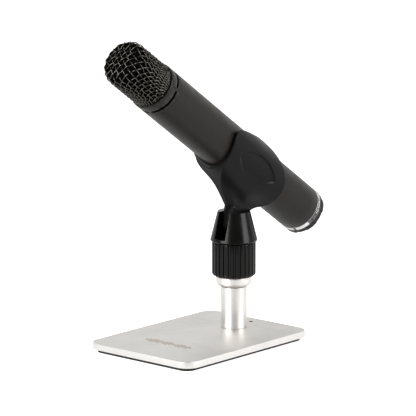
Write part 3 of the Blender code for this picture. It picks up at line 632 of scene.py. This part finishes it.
def make_swivel():
    piece("knurled_collar", skin(rib_levels(), loop_rings=True), POST, "swivel", "black_abs",
          ["grip_collar"], 40)

    outline = [(0.5, CONE_BOTTOM), (15.5, CONE_BOTTOM), (16.2, CONE_BOTTOM + 0.7), (16.2, CONE_BOTTOM + 1.0),
               (11.2, CONE_TOP), (0.5, CONE_TOP)]
    shape = Table(outline, (-1.0, CONE_BOTTOM - 3), (19.0, CONE_TOP + 3), 0.1)

    def cone(p):
        x, y, z = p.T
        body = shape(np.hypot(x, y), z)
        solid = both(body, -z + CONE_BOTTOM, 0.15)
        solid = both(solid, z - CONE_TOP, 0.35)
        slot = np.maximum(np.abs(x) - SLOT_HALF, SLOT_FLOOR - z)
        solid = both(solid, -slot, 0.35)
        off_bolt = np.hypot(y, z - PIVOT_Z)
        recess = np.maximum(off_bolt - RECESS_R, x + 9.9)
        solid = both(solid, -recess, 0.2)
        way = np.maximum(off_bolt - BOLT_WAY_R, x - 9.8)
        pocket = np.maximum(off_bolt - RECESS_R, np.abs(x - 6.2) - 2.2)
        return np.maximum(solid, -np.minimum(way, pocket))

    data, normals = surface_of(cone, (-17.2, -17.2, CONE_BOTTOM - 0.6), (17.2, 17.2, CONE_TOP + 0.6), 0.36)
    piece("fork", data, POST, "swivel", "black_abs", ["fork_cone"], normals=normals)


# ------------------------------------------------------------- clip

# The cradle's two ends as (angle from its top in degrees, station)
FRONT_EDGE = [(20, -12), (37, 0), (48, 10.6), (59, 20), (70, 23.6), (90, 24.2), (122, 20.6), (150, 17.6),
              (180, 15)]
REAR_EDGE = [(20, -12), (24, -14.6), (40, -24), (57, -31), (87, -39), (120, -42.5), (180, -44.6)]
# Heights below the tube's axis: front and rear stations, half widths at nose, middle and tail
WEB = [(34.0, -15.8, -33.6, 1.5, 4.2, 4.2), (30.0, -7.6, -33.6, 2.0, 4.2, 4.3),
       (26.0, 0.4, -35.0, 3.1, 4.6, 4.6), (22.5, 7.8, -38.0, 5.8, 7.4, 5.6),
       (20.0, 13.0, -40.8, 9.0, 10.0, 6.9), (17.8, 15.8, -43.0, 11.6, 11.8, 8.8),
       (14.0, 18.4, -43.2, 14.2, 14.2, 13.4), (10.0, 20.4, -42.2, 16.4, 16.4, 16.4)]
PAD_ANGLE = 107.0
PAD_STATION = -9.1
MID_R = (CLIP_R + CLIP_BORE_R) / 2


def pad_outline(grow=0.0, count=96):
    """Rounded outline of the clip's side pad in (arc, station) about its middle."""
    points = []
    for turn in np.linspace(0, 2 * math.pi, count, endpoint=False):
        along = 0.7 + (21.9 + grow) * math.cos(turn)
        around = -0.6 + (9.9 + grow) * math.copysign(abs(math.sin(turn)) ** 1.5, math.sin(turn))
        points.append((around, along))
    return np.array(points)


def clip_tables():
    w = np.concatenate([np.linspace(0.0, 3.0, 30), np.linspace(3.2, math.sqrt(160.0), 40)])
    angle = CLIP_PEAK_DEG + w * w
    ahead = spline([(math.sqrt(a - CLIP_PEAK_DEG), s) for a, s in FRONT_EDGE])(w)
    behind = spline([(math.sqrt(a - CLIP_PEAK_DEG), s) for a, s in REAR_EDGE])(w)
    arc = np.radians(angle) * MID_R
    past = np.radians(np.array([190.0])) * MID_R
    outline = [*zip(arc, ahead), (past[0], ahead[-1]), (past[0], behind[-1]), *zip(arc[::-1], behind[::-1])]
    cradle = Table(outline, (0.0, -52.0), (60.0, 32.0), 0.2)
    eye = [(6.8 * math.cos(a), 6.8 * math.sin(a)) for a in np.radians(np.linspace(10, -190, 50))]
    tab = Table([(-5.5, 13.0), (11.4, 13.0), (11.4, 9.5), *eye, (-6.0, 8.0)], (-14, -12), (20, 16), 0.1)
    pad = Table(pad_outline(), (-16, -28), (16, 28), 0.15)
    return cradle, tab, pad


def make_clip():
    cradle_at, tab_at, pad_at = clip_tables()
    columns = np.array(sorted(WEB))
    below = columns[:, 0]
    front_of, rear_of, nose_of, middle_of, tail_of = (spline(list(zip(below, columns[:, k])))
                                                      for k in range(1, 6))
    lean = math.radians(TILT_DEG)
    drop = AXIS_Z - PIVOT_Z

    def step(value, low, high):
        return ease(np.clip((value - low) / (high - low), 0, 1))

    def clip(p):
        x, y, s = p.T
        x = np.abs(x)
        r = np.hypot(x, y)
        angle = np.arctan2(x, y)
        arc = angle * MID_R
        below_pad = (angle - math.radians(PAD_ANGLE)) * CLIP_R
        sunk = pad_at(below_pad, s - PAD_STATION)
        ramp = 1.7 * step(below_pad, -4.0, 4.0)
        wall = step(-sunk / (0.9 + ramp), 0.0, 1.0)
        pocket = step(-sunk - ramp, 0.95, 1.2)
        outer = CLIP_R - 0.95 * wall - 0.7 * pocket
        shell = np.maximum(r - outer, CLIP_BORE_R - r)
        cradle = both(shell, cradle_at(arc, s), 0.45)
        q = np.clip(-y, 9.0, 36.0)
        front, rear = front_of(q), rear_of(q)
        part = np.clip((front - s) / (front - rear), 0, 1)
        half = nose_of(q) + (middle_of(q) - nose_of(q)) * step(part, 0, 0.35)
        half = half + (tail_of(q) - middle_of(q)) * step(part, 0.6, 1.0)
        ends = np.maximum(s - front, rear - s) * 0.85
        web = both((x - half) * 0.8, ends, 0.5)
        web = np.maximum(web, np.maximum(-y - 36.0, y + 9.0))
        fillet = 0.3 + 4.0 * step(-y, 15.0, 22.0)
        solid = either(cradle, web, fillet)
        py = y * math.sin(lean) - s * math.cos(lean) + AXIS_Y - POST_Y
        pz = y * math.cos(lean) + s * math.sin(lean) + drop
        tab = both(tab_at(py, pz), x - 4.3, 0.4)
        solid = either(solid, tab, 1.2)
        return np.maximum(solid, CLIP_BORE_R - r)

    data, normals = surface_of(clip, (-21.0, -50.5, -47.0), (21.0, 20.0, 27.0), 0.5)
    piece("clip", data, MIC, "clip", "black_nylon", ["clip_cradle"], normals=normals)

    for side, name in ((1, "right"), (-1, "left")):
        piece(f"pad_{name}", side_pad(side), MIC, "clip", "soft_rubber", [f"side_pad_{name}"], 40)


def side_pad(side, rings=10, count=96):
    """Thin inlay wrapped on the arm, with its rim turned down."""
    face_r = CLIP_R - 0.9
    rim = pad_outline(-1.15, count)
    levels = [(share, face_r) for share in np.linspace(0.08, 0.97, rings)]
    levels += [(0.99, face_r - 0.04), (1.0, face_r - 0.15), (1.0, face_r - 0.6)]
    loops = []
    for share, radius in levels:
        angle = side * (math.radians(PAD_ANGLE) + rim[:, 0] * share / CLIP_R)
        station = PAD_STATION + rim[:, 1] * share
        loops.append(np.stack([radius * np.sin(angle), radius * np.cos(angle), station], -1))
    points, faces = skin(loops, cap_first=True)
    if side < 0:
        faces = [face[::-1] for face in faces]
    return points, faces


# ------------------------------------------------------------- microphone shell

def around(radius, angle_deg, station):
    """Points of the microphone's frame; the angle is measured from its top towards +X."""
    angle = np.radians(angle_deg)
    return np.stack([radius * np.sin(angle), radius * np.cos(angle),
                     np.full(np.shape(angle), float(station))], -1)


def make_tube():
    """Body tube, with four vent slots cut through its wall behind the grille."""
    vent_low, vent_high = 92.4, 94.5
    angles, open_at = [], []
    for vent in range(4):
        start = 82.0 + 90.0 * vent + 4.0
        cuts = [start, start + 0.5, *np.linspace(start + 3, start + 79, 26), start + 81.5, start + 82.0]
        angles += cuts
        open_at += [True] * (len(cuts) - 1) + [False]
        extra = np.linspace(start + 82.0, start + 90.0, 5)[1:-1]
        angles += list(extra)
        open_at += [False] * len(extra)
    angles = np.array(angles)
    count = len(angles)
    outside = [(TUBE_R - 0.35, TUBE_TAIL), (TUBE_R - 0.1, TUBE_TAIL + 0.1), (TUBE_R, TUBE_TAIL + 0.35)]
    outside += [(TUBE_R, s) for s in (-76.0, -50.0, -20.0, 20.0, 60.0, 88.0)]
    outside += [(TUBE_R, vent_low - 0.25), (TUBE_R - 0.12, vent_low), (TUBE_R - 0.12, vent_high),
                (TUBE_R, vent_high + 0.25)]
    outside += [(TUBE_R, TUBE_HEAD - 0.7), (TUBE_R - 0.1, TUBE_HEAD - 0.35),
                (TUBE_R - 0.35, TUBE_HEAD - 0.08), (TUBE_R - 0.7, TUBE_HEAD)]
    slot_row = outside.index((TUBE_R - 0.12, vent_low))
    inside = [(TUBE_BORE_R + 0.1, TUBE_HEAD), (TUBE_BORE_R, TUBE_HEAD - 0.1), (TUBE_BORE_R, vent_high),
              (TUBE_BORE_R, vent_low), (TUBE_BORE_R, TUBE_TAIL + 0.1), (TUBE_BORE_R + 0.1, TUBE_TAIL)]
    inner_row = len(outside) + 2
    rings = []
    bridge = np.array([not (a or b) for a, b in zip(open_at, open_at[-1:] + open_at[:-1])])
    for row, (r, s) in enumerate(outside + inside):
        radius = np.full(count, r)
        if row in (slot_row, slot_row + 1):
            radius[bridge] = TUBE_R
        rings.append(np.stack([radius * np.sin(np.radians(angles)), radius * np.cos(np.radians(angles)),
                               np.full(count, s)], -1))
    points, _ = skin(rings)
    total = len(rings)
    faces = []
    for row in range(total):
        here, there = row * count, (row + 1) % total * count
        for i in range(count):
            j = (i + 1) % count
            if open_at[i] and row in (slot_row, inner_row):
                continue
            faces.append((here + i, there + i, there + j, here + j))
    wall_start = len(faces)
    low_out, high_out = slot_row * count, (slot_row + 1) * count
    high_in, low_in = inner_row * count, (inner_row + 1) * count
    for i in range(count):
        j = (i + 1) % count
        if open_at[i]:
            faces.append((low_out + i, low_in + i, low_in + j, low_out + j))
            faces.append((high_out + j, high_in + j, high_in + i, high_out + i))
        if open_at[i] and not open_at[i - 1]:
            faces.append((low_out + i, high_out + i, high_in + i, low_in + i))
        if not open_at[i] and open_at[i - 1]:
            faces.append((low_out + i, low_in + i, high_in + i, high_out + i))
    shell = piece("body_shell", (points, faces), MIC, "mic", "black_enamel", ["body_tube"], 30)
    # The vent slots' walls take the shade black: painted shade so the slots read dark
    shell.data.materials.append(paint["painted_shade_black"])
    for face in shell.data.polygons[wall_start:]:
        face.material_index = 1
    # A black sleeve just inside the vent slots: painted shade that makes the slots look deep
    shade_sleeve = softened([(14.6, 91.0, 0.05), (15.0, 91.0, 0.05), (15.0, 96.0, 0.05), (14.6, 96.0, 0.05)])
    piece("vent_shade_sleeve", lathe(shade_sleeve, 96), MIC, "mic", "black_abs").data.materials[0] = paint["painted_shade_black"]


def patch(radius, angle_0, angle_1, s_0, s_1, proud=0.03, steps=12):
    """Thin printed patch on the tube."""
    angles = np.linspace(angle_0, angle_1, steps)
    under, over = radius - 0.1, radius + proud
    rings = [around(r, angles, s) for r, s in ((under, s_0), (over, s_0), (over, s_1), (under, s_1))]
    rings = np.transpose(np.array(rings), (1, 0, 2))
    points, faces = skin(rings, cap_first=True, cap_last=True)
    return points, [face[::-1] for face in faces]


GRIPS = 6
PER_GRIP = 48
GRIP_LIFT = 0.45
TAIL_RING_R = 16.45


def make_tail():
    band = softened([(15.1, -88.0, 0.1), (TUBE_R, -88.0, 0.2), (TUBE_R, -84.5, 0.2), (15.1, -84.5, 0.1)])
    piece("tail_band", lathe(band, 120), MIC, "mic", "satin_silver", ["mark_band"], 30)
    for half in (0, 180):
        field = merge(*[patch(TUBE_R, a + half, b + half, -87.7, -84.8) for a, b in ((56, 126), (163, 169))])
        greys = merge(*[patch(TUBE_R, a + half, b + half, -87.4, -85.1, 0.05)
                        for a, b in ((98, 112.5), (115, 125))])
        tick = [(59, 61, 0), (64, 70, 1), (73, 75, 0), (77, 78.5, 2), (80, 83, 1), (85.5, 87.5, 2),
                (89.5, 91, 0), (93, 96, 1)]
        spans = (-87.3, -85.2), (-86.8, -85.7), (-87.0, -85.9)
        ticks = [patch(TUBE_R, a + half, b + half, *spans[kind], 0.05, 4) for a, b, kind in tick]
        whites = merge(*ticks, patch(TUBE_R, 127 + half, 161 + half, -87.4, -85.1, 0.05))
        name = "b" if half else "a"
        piece(f"band_field_{name}", field, MIC, "mic", "black_anodised", smooth_deg=30)
        dark = piece(f"band_greys_{name}", greys, MIC, "mic", "black_anodised", smooth_deg=30)
        dark.data.materials[0] = paint["grey_print"]
        light = piece(f"band_whites_{name}", whites, MIC, "mic", "satin_silver", smooth_deg=30)
        light.data.materials[0] = paint["white_print"]

    sides = GRIPS * PER_GRIP
    index = np.arange(sides)
    phase = ((index + 0.5) / PER_GRIP + 0.12) % 1.0
    bump = np.clip((0.5 - np.abs(phase - 0.5)) * 2, 0, 1)
    raised = np.clip((bump - 0.42) / 0.10, 0, 1)
    raised = ease(raised)
    turn = index * 2 * math.pi / sides
    levels = [(-92.3, -0.55), (-92.2, -0.25), (-91.9, 0.0), (-90.0, 0.0), (-88.7, 0.0), (-88.35, -0.2)]
    rings = []
    for s, inset in levels:
        rings.append(circle(TAIL_RING_R + GRIP_LIFT * raised + inset, turn, s))
    rings += [circle(r, turn, s) for r, s in ((15.3, -88.35), (15.1, -88.5), (15.1, -92.1), (15.3, -92.3))]
    piece("tail_ring", skin(rings, loop_rings=True), MIC, "lock", "black_anodised", ["lock_ring"], 35)

    shell = softened([(8.15, -92.0, 0.5), (14.8, -92.0, 0.5), (14.8, -66.0, 0.3), (8.15, -66.0, 0.3)])
    socket = piece("socket_shell", lathe(shell, 96), MIC, "mic", "nickel_bar", ["xlr_shell"], 30)
    socket.data.materials[0] = paint["satin_silver"]
    for number, angle in enumerate((-50.0, 50.0, 180.0), start=1):
        x, y, _ = around(4.5, angle, 0.0)
        pin = softened([(0.02, -86.0, 0), (1.2, -86.0, 0.9), (1.2, -66.0, 0), (0.02, -66.0, 0)],
                       closed=False, steps=8)
        points, faces = lathe(pin, 24)
        piece(f"pin_{number}", (points + (x, y, 0), faces), MIC, "mic", "gold", [f"xlr_pin_{number}"], 40)


# ------------------------------------------------------------- grille

WIRE_R = 0.35
WEAVE = 0.40
PITCH = 3.45
WEAVE_TURN_DEG = 48.0
LOCK_DEG = 32.0
NET_R = 16.2 - WIRE_R - WEAVE
NET_TIP = 137.8 - WIRE_R - WEAVE
CROWN = 1.5
CORNER = 5.6
FLAT = NET_R - CORNER
ARC = CORNER * math.pi / 2
RIM = 101.0


def lift(length, turn):
    """From the distance over the basket's surface from its tip, and a turn, to a point."""
    bent = np.clip((length - FLAT) / CORNER, 0, math.pi / 2)
    flat = length < FLAT
    r = np.where(flat, length, FLAT + CORNER * np.sin(bent))
    s = np.where(flat, NET_TIP - CROWN * (length / FLAT) ** 2,
                 NET_TIP - CROWN - CORNER * (1 - np.cos(bent)) - np.maximum(length - FLAT - ARC, 0))
    return np.stack([r * np.cos(turn), r * np.sin(turn), s], -1)


def drop(points):
    """The reverse: any point near the basket to its distance from the tip and its turn."""
    r = np.hypot(points[..., 0], points[..., 1])
    s = points[..., 2]
    shoulder = NET_TIP - CROWN - CORNER
    bent = np.arctan2(r - FLAT, np.maximum(s - shoulder, 1e-6))
    length = np.where(s < shoulder, FLAT + ARC + (shoulder - s),
                      np.where(r < FLAT, r, FLAT + CORNER * np.clip(bent, 0, math.pi / 2)))
    return length, np.arctan2(points[..., 1], points[..., 0])


def facing(points):
    length, turn = drop(points)
    bent = np.clip((length - FLAT) / CORNER, 0, math.pi / 2)
    tilt = np.where(length < FLAT, 2 * CROWN * length / FLAT ** 2 * 0.6, bent)
    tilt = np.maximum(tilt, bent)
    return np.stack([np.sin(tilt) * np.cos(turn), np.sin(tilt) * np.sin(turn), np.cos(tilt)], -1)


def draped_net(half=15, rounds=1500):
    """Square net of wires drawn down over the basket: its squares shear until the wires lock."""
    marks = (np.arange(-half, half) + 0.5) * PITCH
    u, v = np.meshgrid(marks, marks, indexing="ij")
    reach = FLAT + ARC * 0.8
    radius, turn = np.hypot(u, v), np.arctan2(v, u)

    def swept(w):
        w = np.minimum(np.abs(w) / reach, 1)
        return reach / 2 * (w * np.sqrt(1 - w * w) + np.arcsin(w))

    def fall(w):
        w = np.abs(w)
        return np.where(w < reach, w * w / (2 * reach), reach / 2 + (w - reach))

    length = np.where(radius < reach, radius, reach + fall(u) + fall(v) - reach / 2)
    start = np.where(radius < reach, np.arctan2(np.abs(v), np.abs(u)),
                     math.pi / 4 + (swept(v) - swept(u)) / reach)
    start = np.arctan2(np.sin(start) * np.sign(v), np.cos(start) * np.sign(u))
    share = 0.1 * np.clip((radius - FLAT) / NET_R, 0, 1) * np.sin(2 * turn) ** 2
    away = (turn - start + math.pi) % (2 * math.pi) - math.pi
    net = lift(length + (radius - length) * share, start + away * share)
    held = radius < FLAT
    fixed = lift(radius, turn)[held]
    shortest = 2 * PITCH * math.sin(math.radians(LOCK_DEG) / 2)
    shoulder = NET_TIP - CROWN - CORNER
    everything, first, last = slice(None), slice(None, -1), slice(1, None)
    pairs = [((first, everything), (last, everything), PITCH, False),
             ((everything, first), (everything, last), PITCH, False),
             ((first, first), (last, last), shortest, True),
             ((last, first), (first, last), shortest, True)]
    for _ in range(rounds):
        push = np.zeros_like(net)
        weight = np.zeros((*net.shape[:2], 1))
        for a, b, rest, only_short in pairs:
            gap = net[b] - net[a]
            size = np.linalg.norm(gap, axis=-1, keepdims=True) + 1e-9
            active = (size < rest) if only_short else np.ones_like(size, bool)
            change = np.where(active, (size - rest) / size * gap * 0.5, 0.0)
            push[a] += change
            push[b] -= change
            weight[a] += active
            weight[b] += active
        net = net + push / np.maximum(weight, 1) * 1.2
        straight = np.zeros_like(net)
        side = net[..., 2:3] < shoulder
        straight[1:-1] += ((net[:-2] + net[2:]) / 2 - net[1:-1]) * (side[:-2] & side[2:] & side[1:-1])
        straight[:, 1:-1] += ((net[:, :-2] + net[:, 2:]) / 2 - net[:, 1:-1]) * (side[:, :-2] & side[:, 2:]
                                                                               & side[:, 1:-1])
        out = facing(net)
        straight -= out * np.sum(straight * out, -1, keepdims=True)
        net = lift(*drop(net + 0.05 * straight))
        net[held] = fixed
    return net


def wire(path, out, radius=WIRE_R, sides=8):
    """Round wire along a path, with the surface's normal to steady its section."""
    along = np.gradient(path, axis=0)
    along /= np.linalg.norm(along, axis=1, keepdims=True)
    side = np.cross(along, out)
    side /= np.linalg.norm(side, axis=1, keepdims=True)
    up = np.cross(side, along)
    rings = []
    for i in range(sides):
        a = 2 * math.pi * i / sides
        rings.append(path + radius * (math.cos(a) * side + math.sin(a) * up))
    return skin(np.transpose(np.array(rings), (1, 0, 2))[:, ::-1], cap_first=True, cap_last=True)


def smooth_path(points, fine=5):
    """Catmull-Rom path through points."""
    padded = np.concatenate([2 * points[:1] - points[1:2], points, 2 * points[-1:] - points[-2:-1]])
    t = (np.arange(fine) / fine)[:, None]
    pieces = []
    for i in range(len(points) - 1):
        a, b, c, d = padded[i:i + 4]
        pieces.append(0.5 * (2 * b + (c - a) * t + (2 * a - 5 * b + 4 * c - d) * t ** 2
                             + (3 * b - a - 3 * c + d) * t ** 3))
    return np.concatenate([*pieces, points[-1:]])


def make_grille():
    net = draped_net()
    turn = math.radians(WEAVE_TURN_DEG)
    fine = 5
    parts = []
    for family in (0, 1):
        for row in range(net.shape[0]):
            knots = net[row] if family == 0 else net[:, row]
            path = smooth_path(knots, fine)
            path = lift(*drop(path))
            out = facing(path)
            along = np.arange(len(path)) / fine
            swing = np.cos(math.pi * (along + row)) * (1 if family == 0 else -1)
            path = path + out * (WEAVE * swing)[:, None]
            keep = path[:, 2] > RIM
            edges = np.flatnonzero(np.diff(np.concatenate([[0], keep.astype(int), [0]])))
            for start, stop in zip(edges[::2], edges[1::2]):
                if stop - start > 3:
                    parts.append(wire(path[start:stop], out[start:stop]))
    points, faces = merge(*parts)
    x, y = points[:, 0].copy(), points[:, 1].copy()
    points[:, 0] = x * math.cos(turn) - y * math.sin(turn)
    points[:, 1] = x * math.sin(turn) + y * math.cos(turn)
    piece("woven_grille", (points, faces), MIC, "mic", "black_wire", ["grille"], 60)
    rim = softened([(14.85, 100.4, 0.05), (15.2, 100.4, 0.05), (15.2, 102.2, 0.15), (14.85, 102.2, 0.05)])
    piece("grille_rim", lathe(rim, 96), MIC, "mic", "black_abs", smooth_deg=35)

    outline = softened([(13.0, 103.6, 0), (14.7, 103.6, 0.4), (14.7, 135.3, 4.3), (0.4, 136.0, 0),
                        (0.4, 134.2, 0), (12.4, 133.4, 3.5), (12.4, 104.0, 0)], steps=8)
    foam = lathe(outline, 72)
    item = piece("foam_basket", foam, MIC, "mic", "foam", ["foam_liner"], 40)


# ------------------------------------------------------------- set

def area_light(name, location, target, size, energy):
    lamp = bpy.data.lights.new(name, "AREA")
    lamp.shape = "RECTANGLE"
    lamp.size, lamp.size_y = size
    lamp.energy = energy
    item = bpy.data.objects.new(name, lamp)
    bpy.context.scene.collection.objects.link(item)
    item.location = location
    item.rotation_euler = (Vector(target) - Vector(location)).to_track_quat("-Z", "Y").to_euler()


CAMERA_TARGET = (0, 0.00864, 0.09433)
CAMERA_BACK = (0.6452, -0.7380, 0.1977)
CAMERA_DISTANCE = 2.0313
CAMERA_LENS = 259.24
# The room is dim on the camera's side, bright ahead of it, and plain white to the camera itself
ROOM_AHEAD = (-0.658, 0.753, 0.0)
ROOM_FRONT = 0.13
ROOM_BACK = 0.95
BACKDROP = 1.05
FLOOR_GLOW = 0.72
VIEW_TURN = 41.16
STRIP_DISTANCE = 1.3
# Softboxes: turn from the camera's side, rise, half width and half height in degrees, radiance
STRIPS = [("strip_right", 68.0, 30.0, 17.0, 22.0, 6.0), ("strip_left", -50.0, 30.0, 18.0, 22.0, 7.0),
          ("overhead", 180.0, 66.0, 18.0, 18.0, 2.0)]


def make_set():
    scene = bpy.context.scene
    scene.view_settings.view_transform = "Standard"
    world = bpy.data.worlds.new("studio")
    scene.world = world
    world.use_nodes = True
    tree = world.node_tree
    background = tree.nodes["Background"]
    background.inputs["Color"].default_value = (1.0, 0.995, 0.985, 1.0)
    direction = tree.nodes.new("ShaderNodeTexCoord").outputs["Generated"]
    toward = tree.nodes.new("ShaderNodeVectorMath")
    toward.operation = "DOT_PRODUCT"
    tree.links.new(direction, toward.inputs[0])
    toward.inputs[1].default_value = ROOM_AHEAD
    sweep = tree.nodes.new("ShaderNodeMapRange")
    sweep.interpolation_type = "SMOOTHSTEP"
    tree.links.new(toward.outputs["Value"], sweep.inputs["Value"])
    for socket, number in zip(("From Min", "From Max", "To Min", "To Max"),
                              (-0.3, 1.0, ROOM_FRONT, ROOM_BACK)):
        sweep.inputs[socket].default_value = number
    seen = tree.nodes.new("ShaderNodeLightPath")
    level = tree.nodes.new("ShaderNodeMix")
    tree.links.new(seen.outputs["Is Camera Ray"], level.inputs[0])
    tree.links.new(sweep.outputs[0], level.inputs[2])
    level.inputs[3].default_value = BACKDROP
    tree.links.new(level.outputs[0], background.inputs["Strength"])

    floor = bpy.data.meshes.new("floor")
    half = 30.0
    floor.from_pydata([(-half, -half, 0), (half, -half, 0), (half, half, 0), (-half, half, 0)], [],
                      [(0, 1, 2, 3)])
    g = Graph("floor")
    seen = g.tree.nodes.new("ShaderNodeLightPath")
    g.shader.inputs["Emission Color"].default_value = (1, 1, 1, 1)
    g.shader.inputs["Emission Strength"].default_value = FLOOR_GLOW
    grain = g.mix(g.noise(3.0), (0.86, 0.86, 0.86), (0.88, 0.88, 0.88))
    floor.materials.append(g.finish(g.mix(seen.outputs["Is Camera Ray"], (0.15, 0.15, 0.15), grain), 0.9))
    floor_item = bpy.data.objects.new("floor", floor)
    scene.collection.objects.link(floor_item)

    back = Vector(CAMERA_BACK).normalized()
    camera = bpy.data.cameras.new("camera")
    camera.sensor_width = 36.0
    camera.lens = CAMERA_LENS
    camera.clip_start, camera.clip_end = 0.05, 100.0
    item = bpy.data.objects.new("camera", camera)
    scene.collection.objects.link(item)
    item.location = Vector(CAMERA_TARGET) + back * CAMERA_DISTANCE
    item.rotation_euler = (-back).to_track_quat("-Z", "Y").to_euler()
    scene.camera = item

    for name, turn, rise, half_width, half_height, level in STRIPS:
        way = math.radians(VIEW_TURN + turn)
        place = Vector((math.sin(way), -math.cos(way), math.tan(math.radians(rise)))) * STRIP_DISTANCE
        size = [2 * STRIP_DISTANCE * math.tan(math.radians(half)) for half in (half_width, half_height)]
        area_light(name, place, (0, 0, 0.09), size, level * math.pi * size[0] * size[1])


make_stand()
make_swivel()
make_clip()
make_tube()
make_tail()
make_grille()
for node, item in nodes.items():
    for index in range(len(item.material_slots)):
        item.material_slots[index].material = paint[slot_of[node]]
make_set()
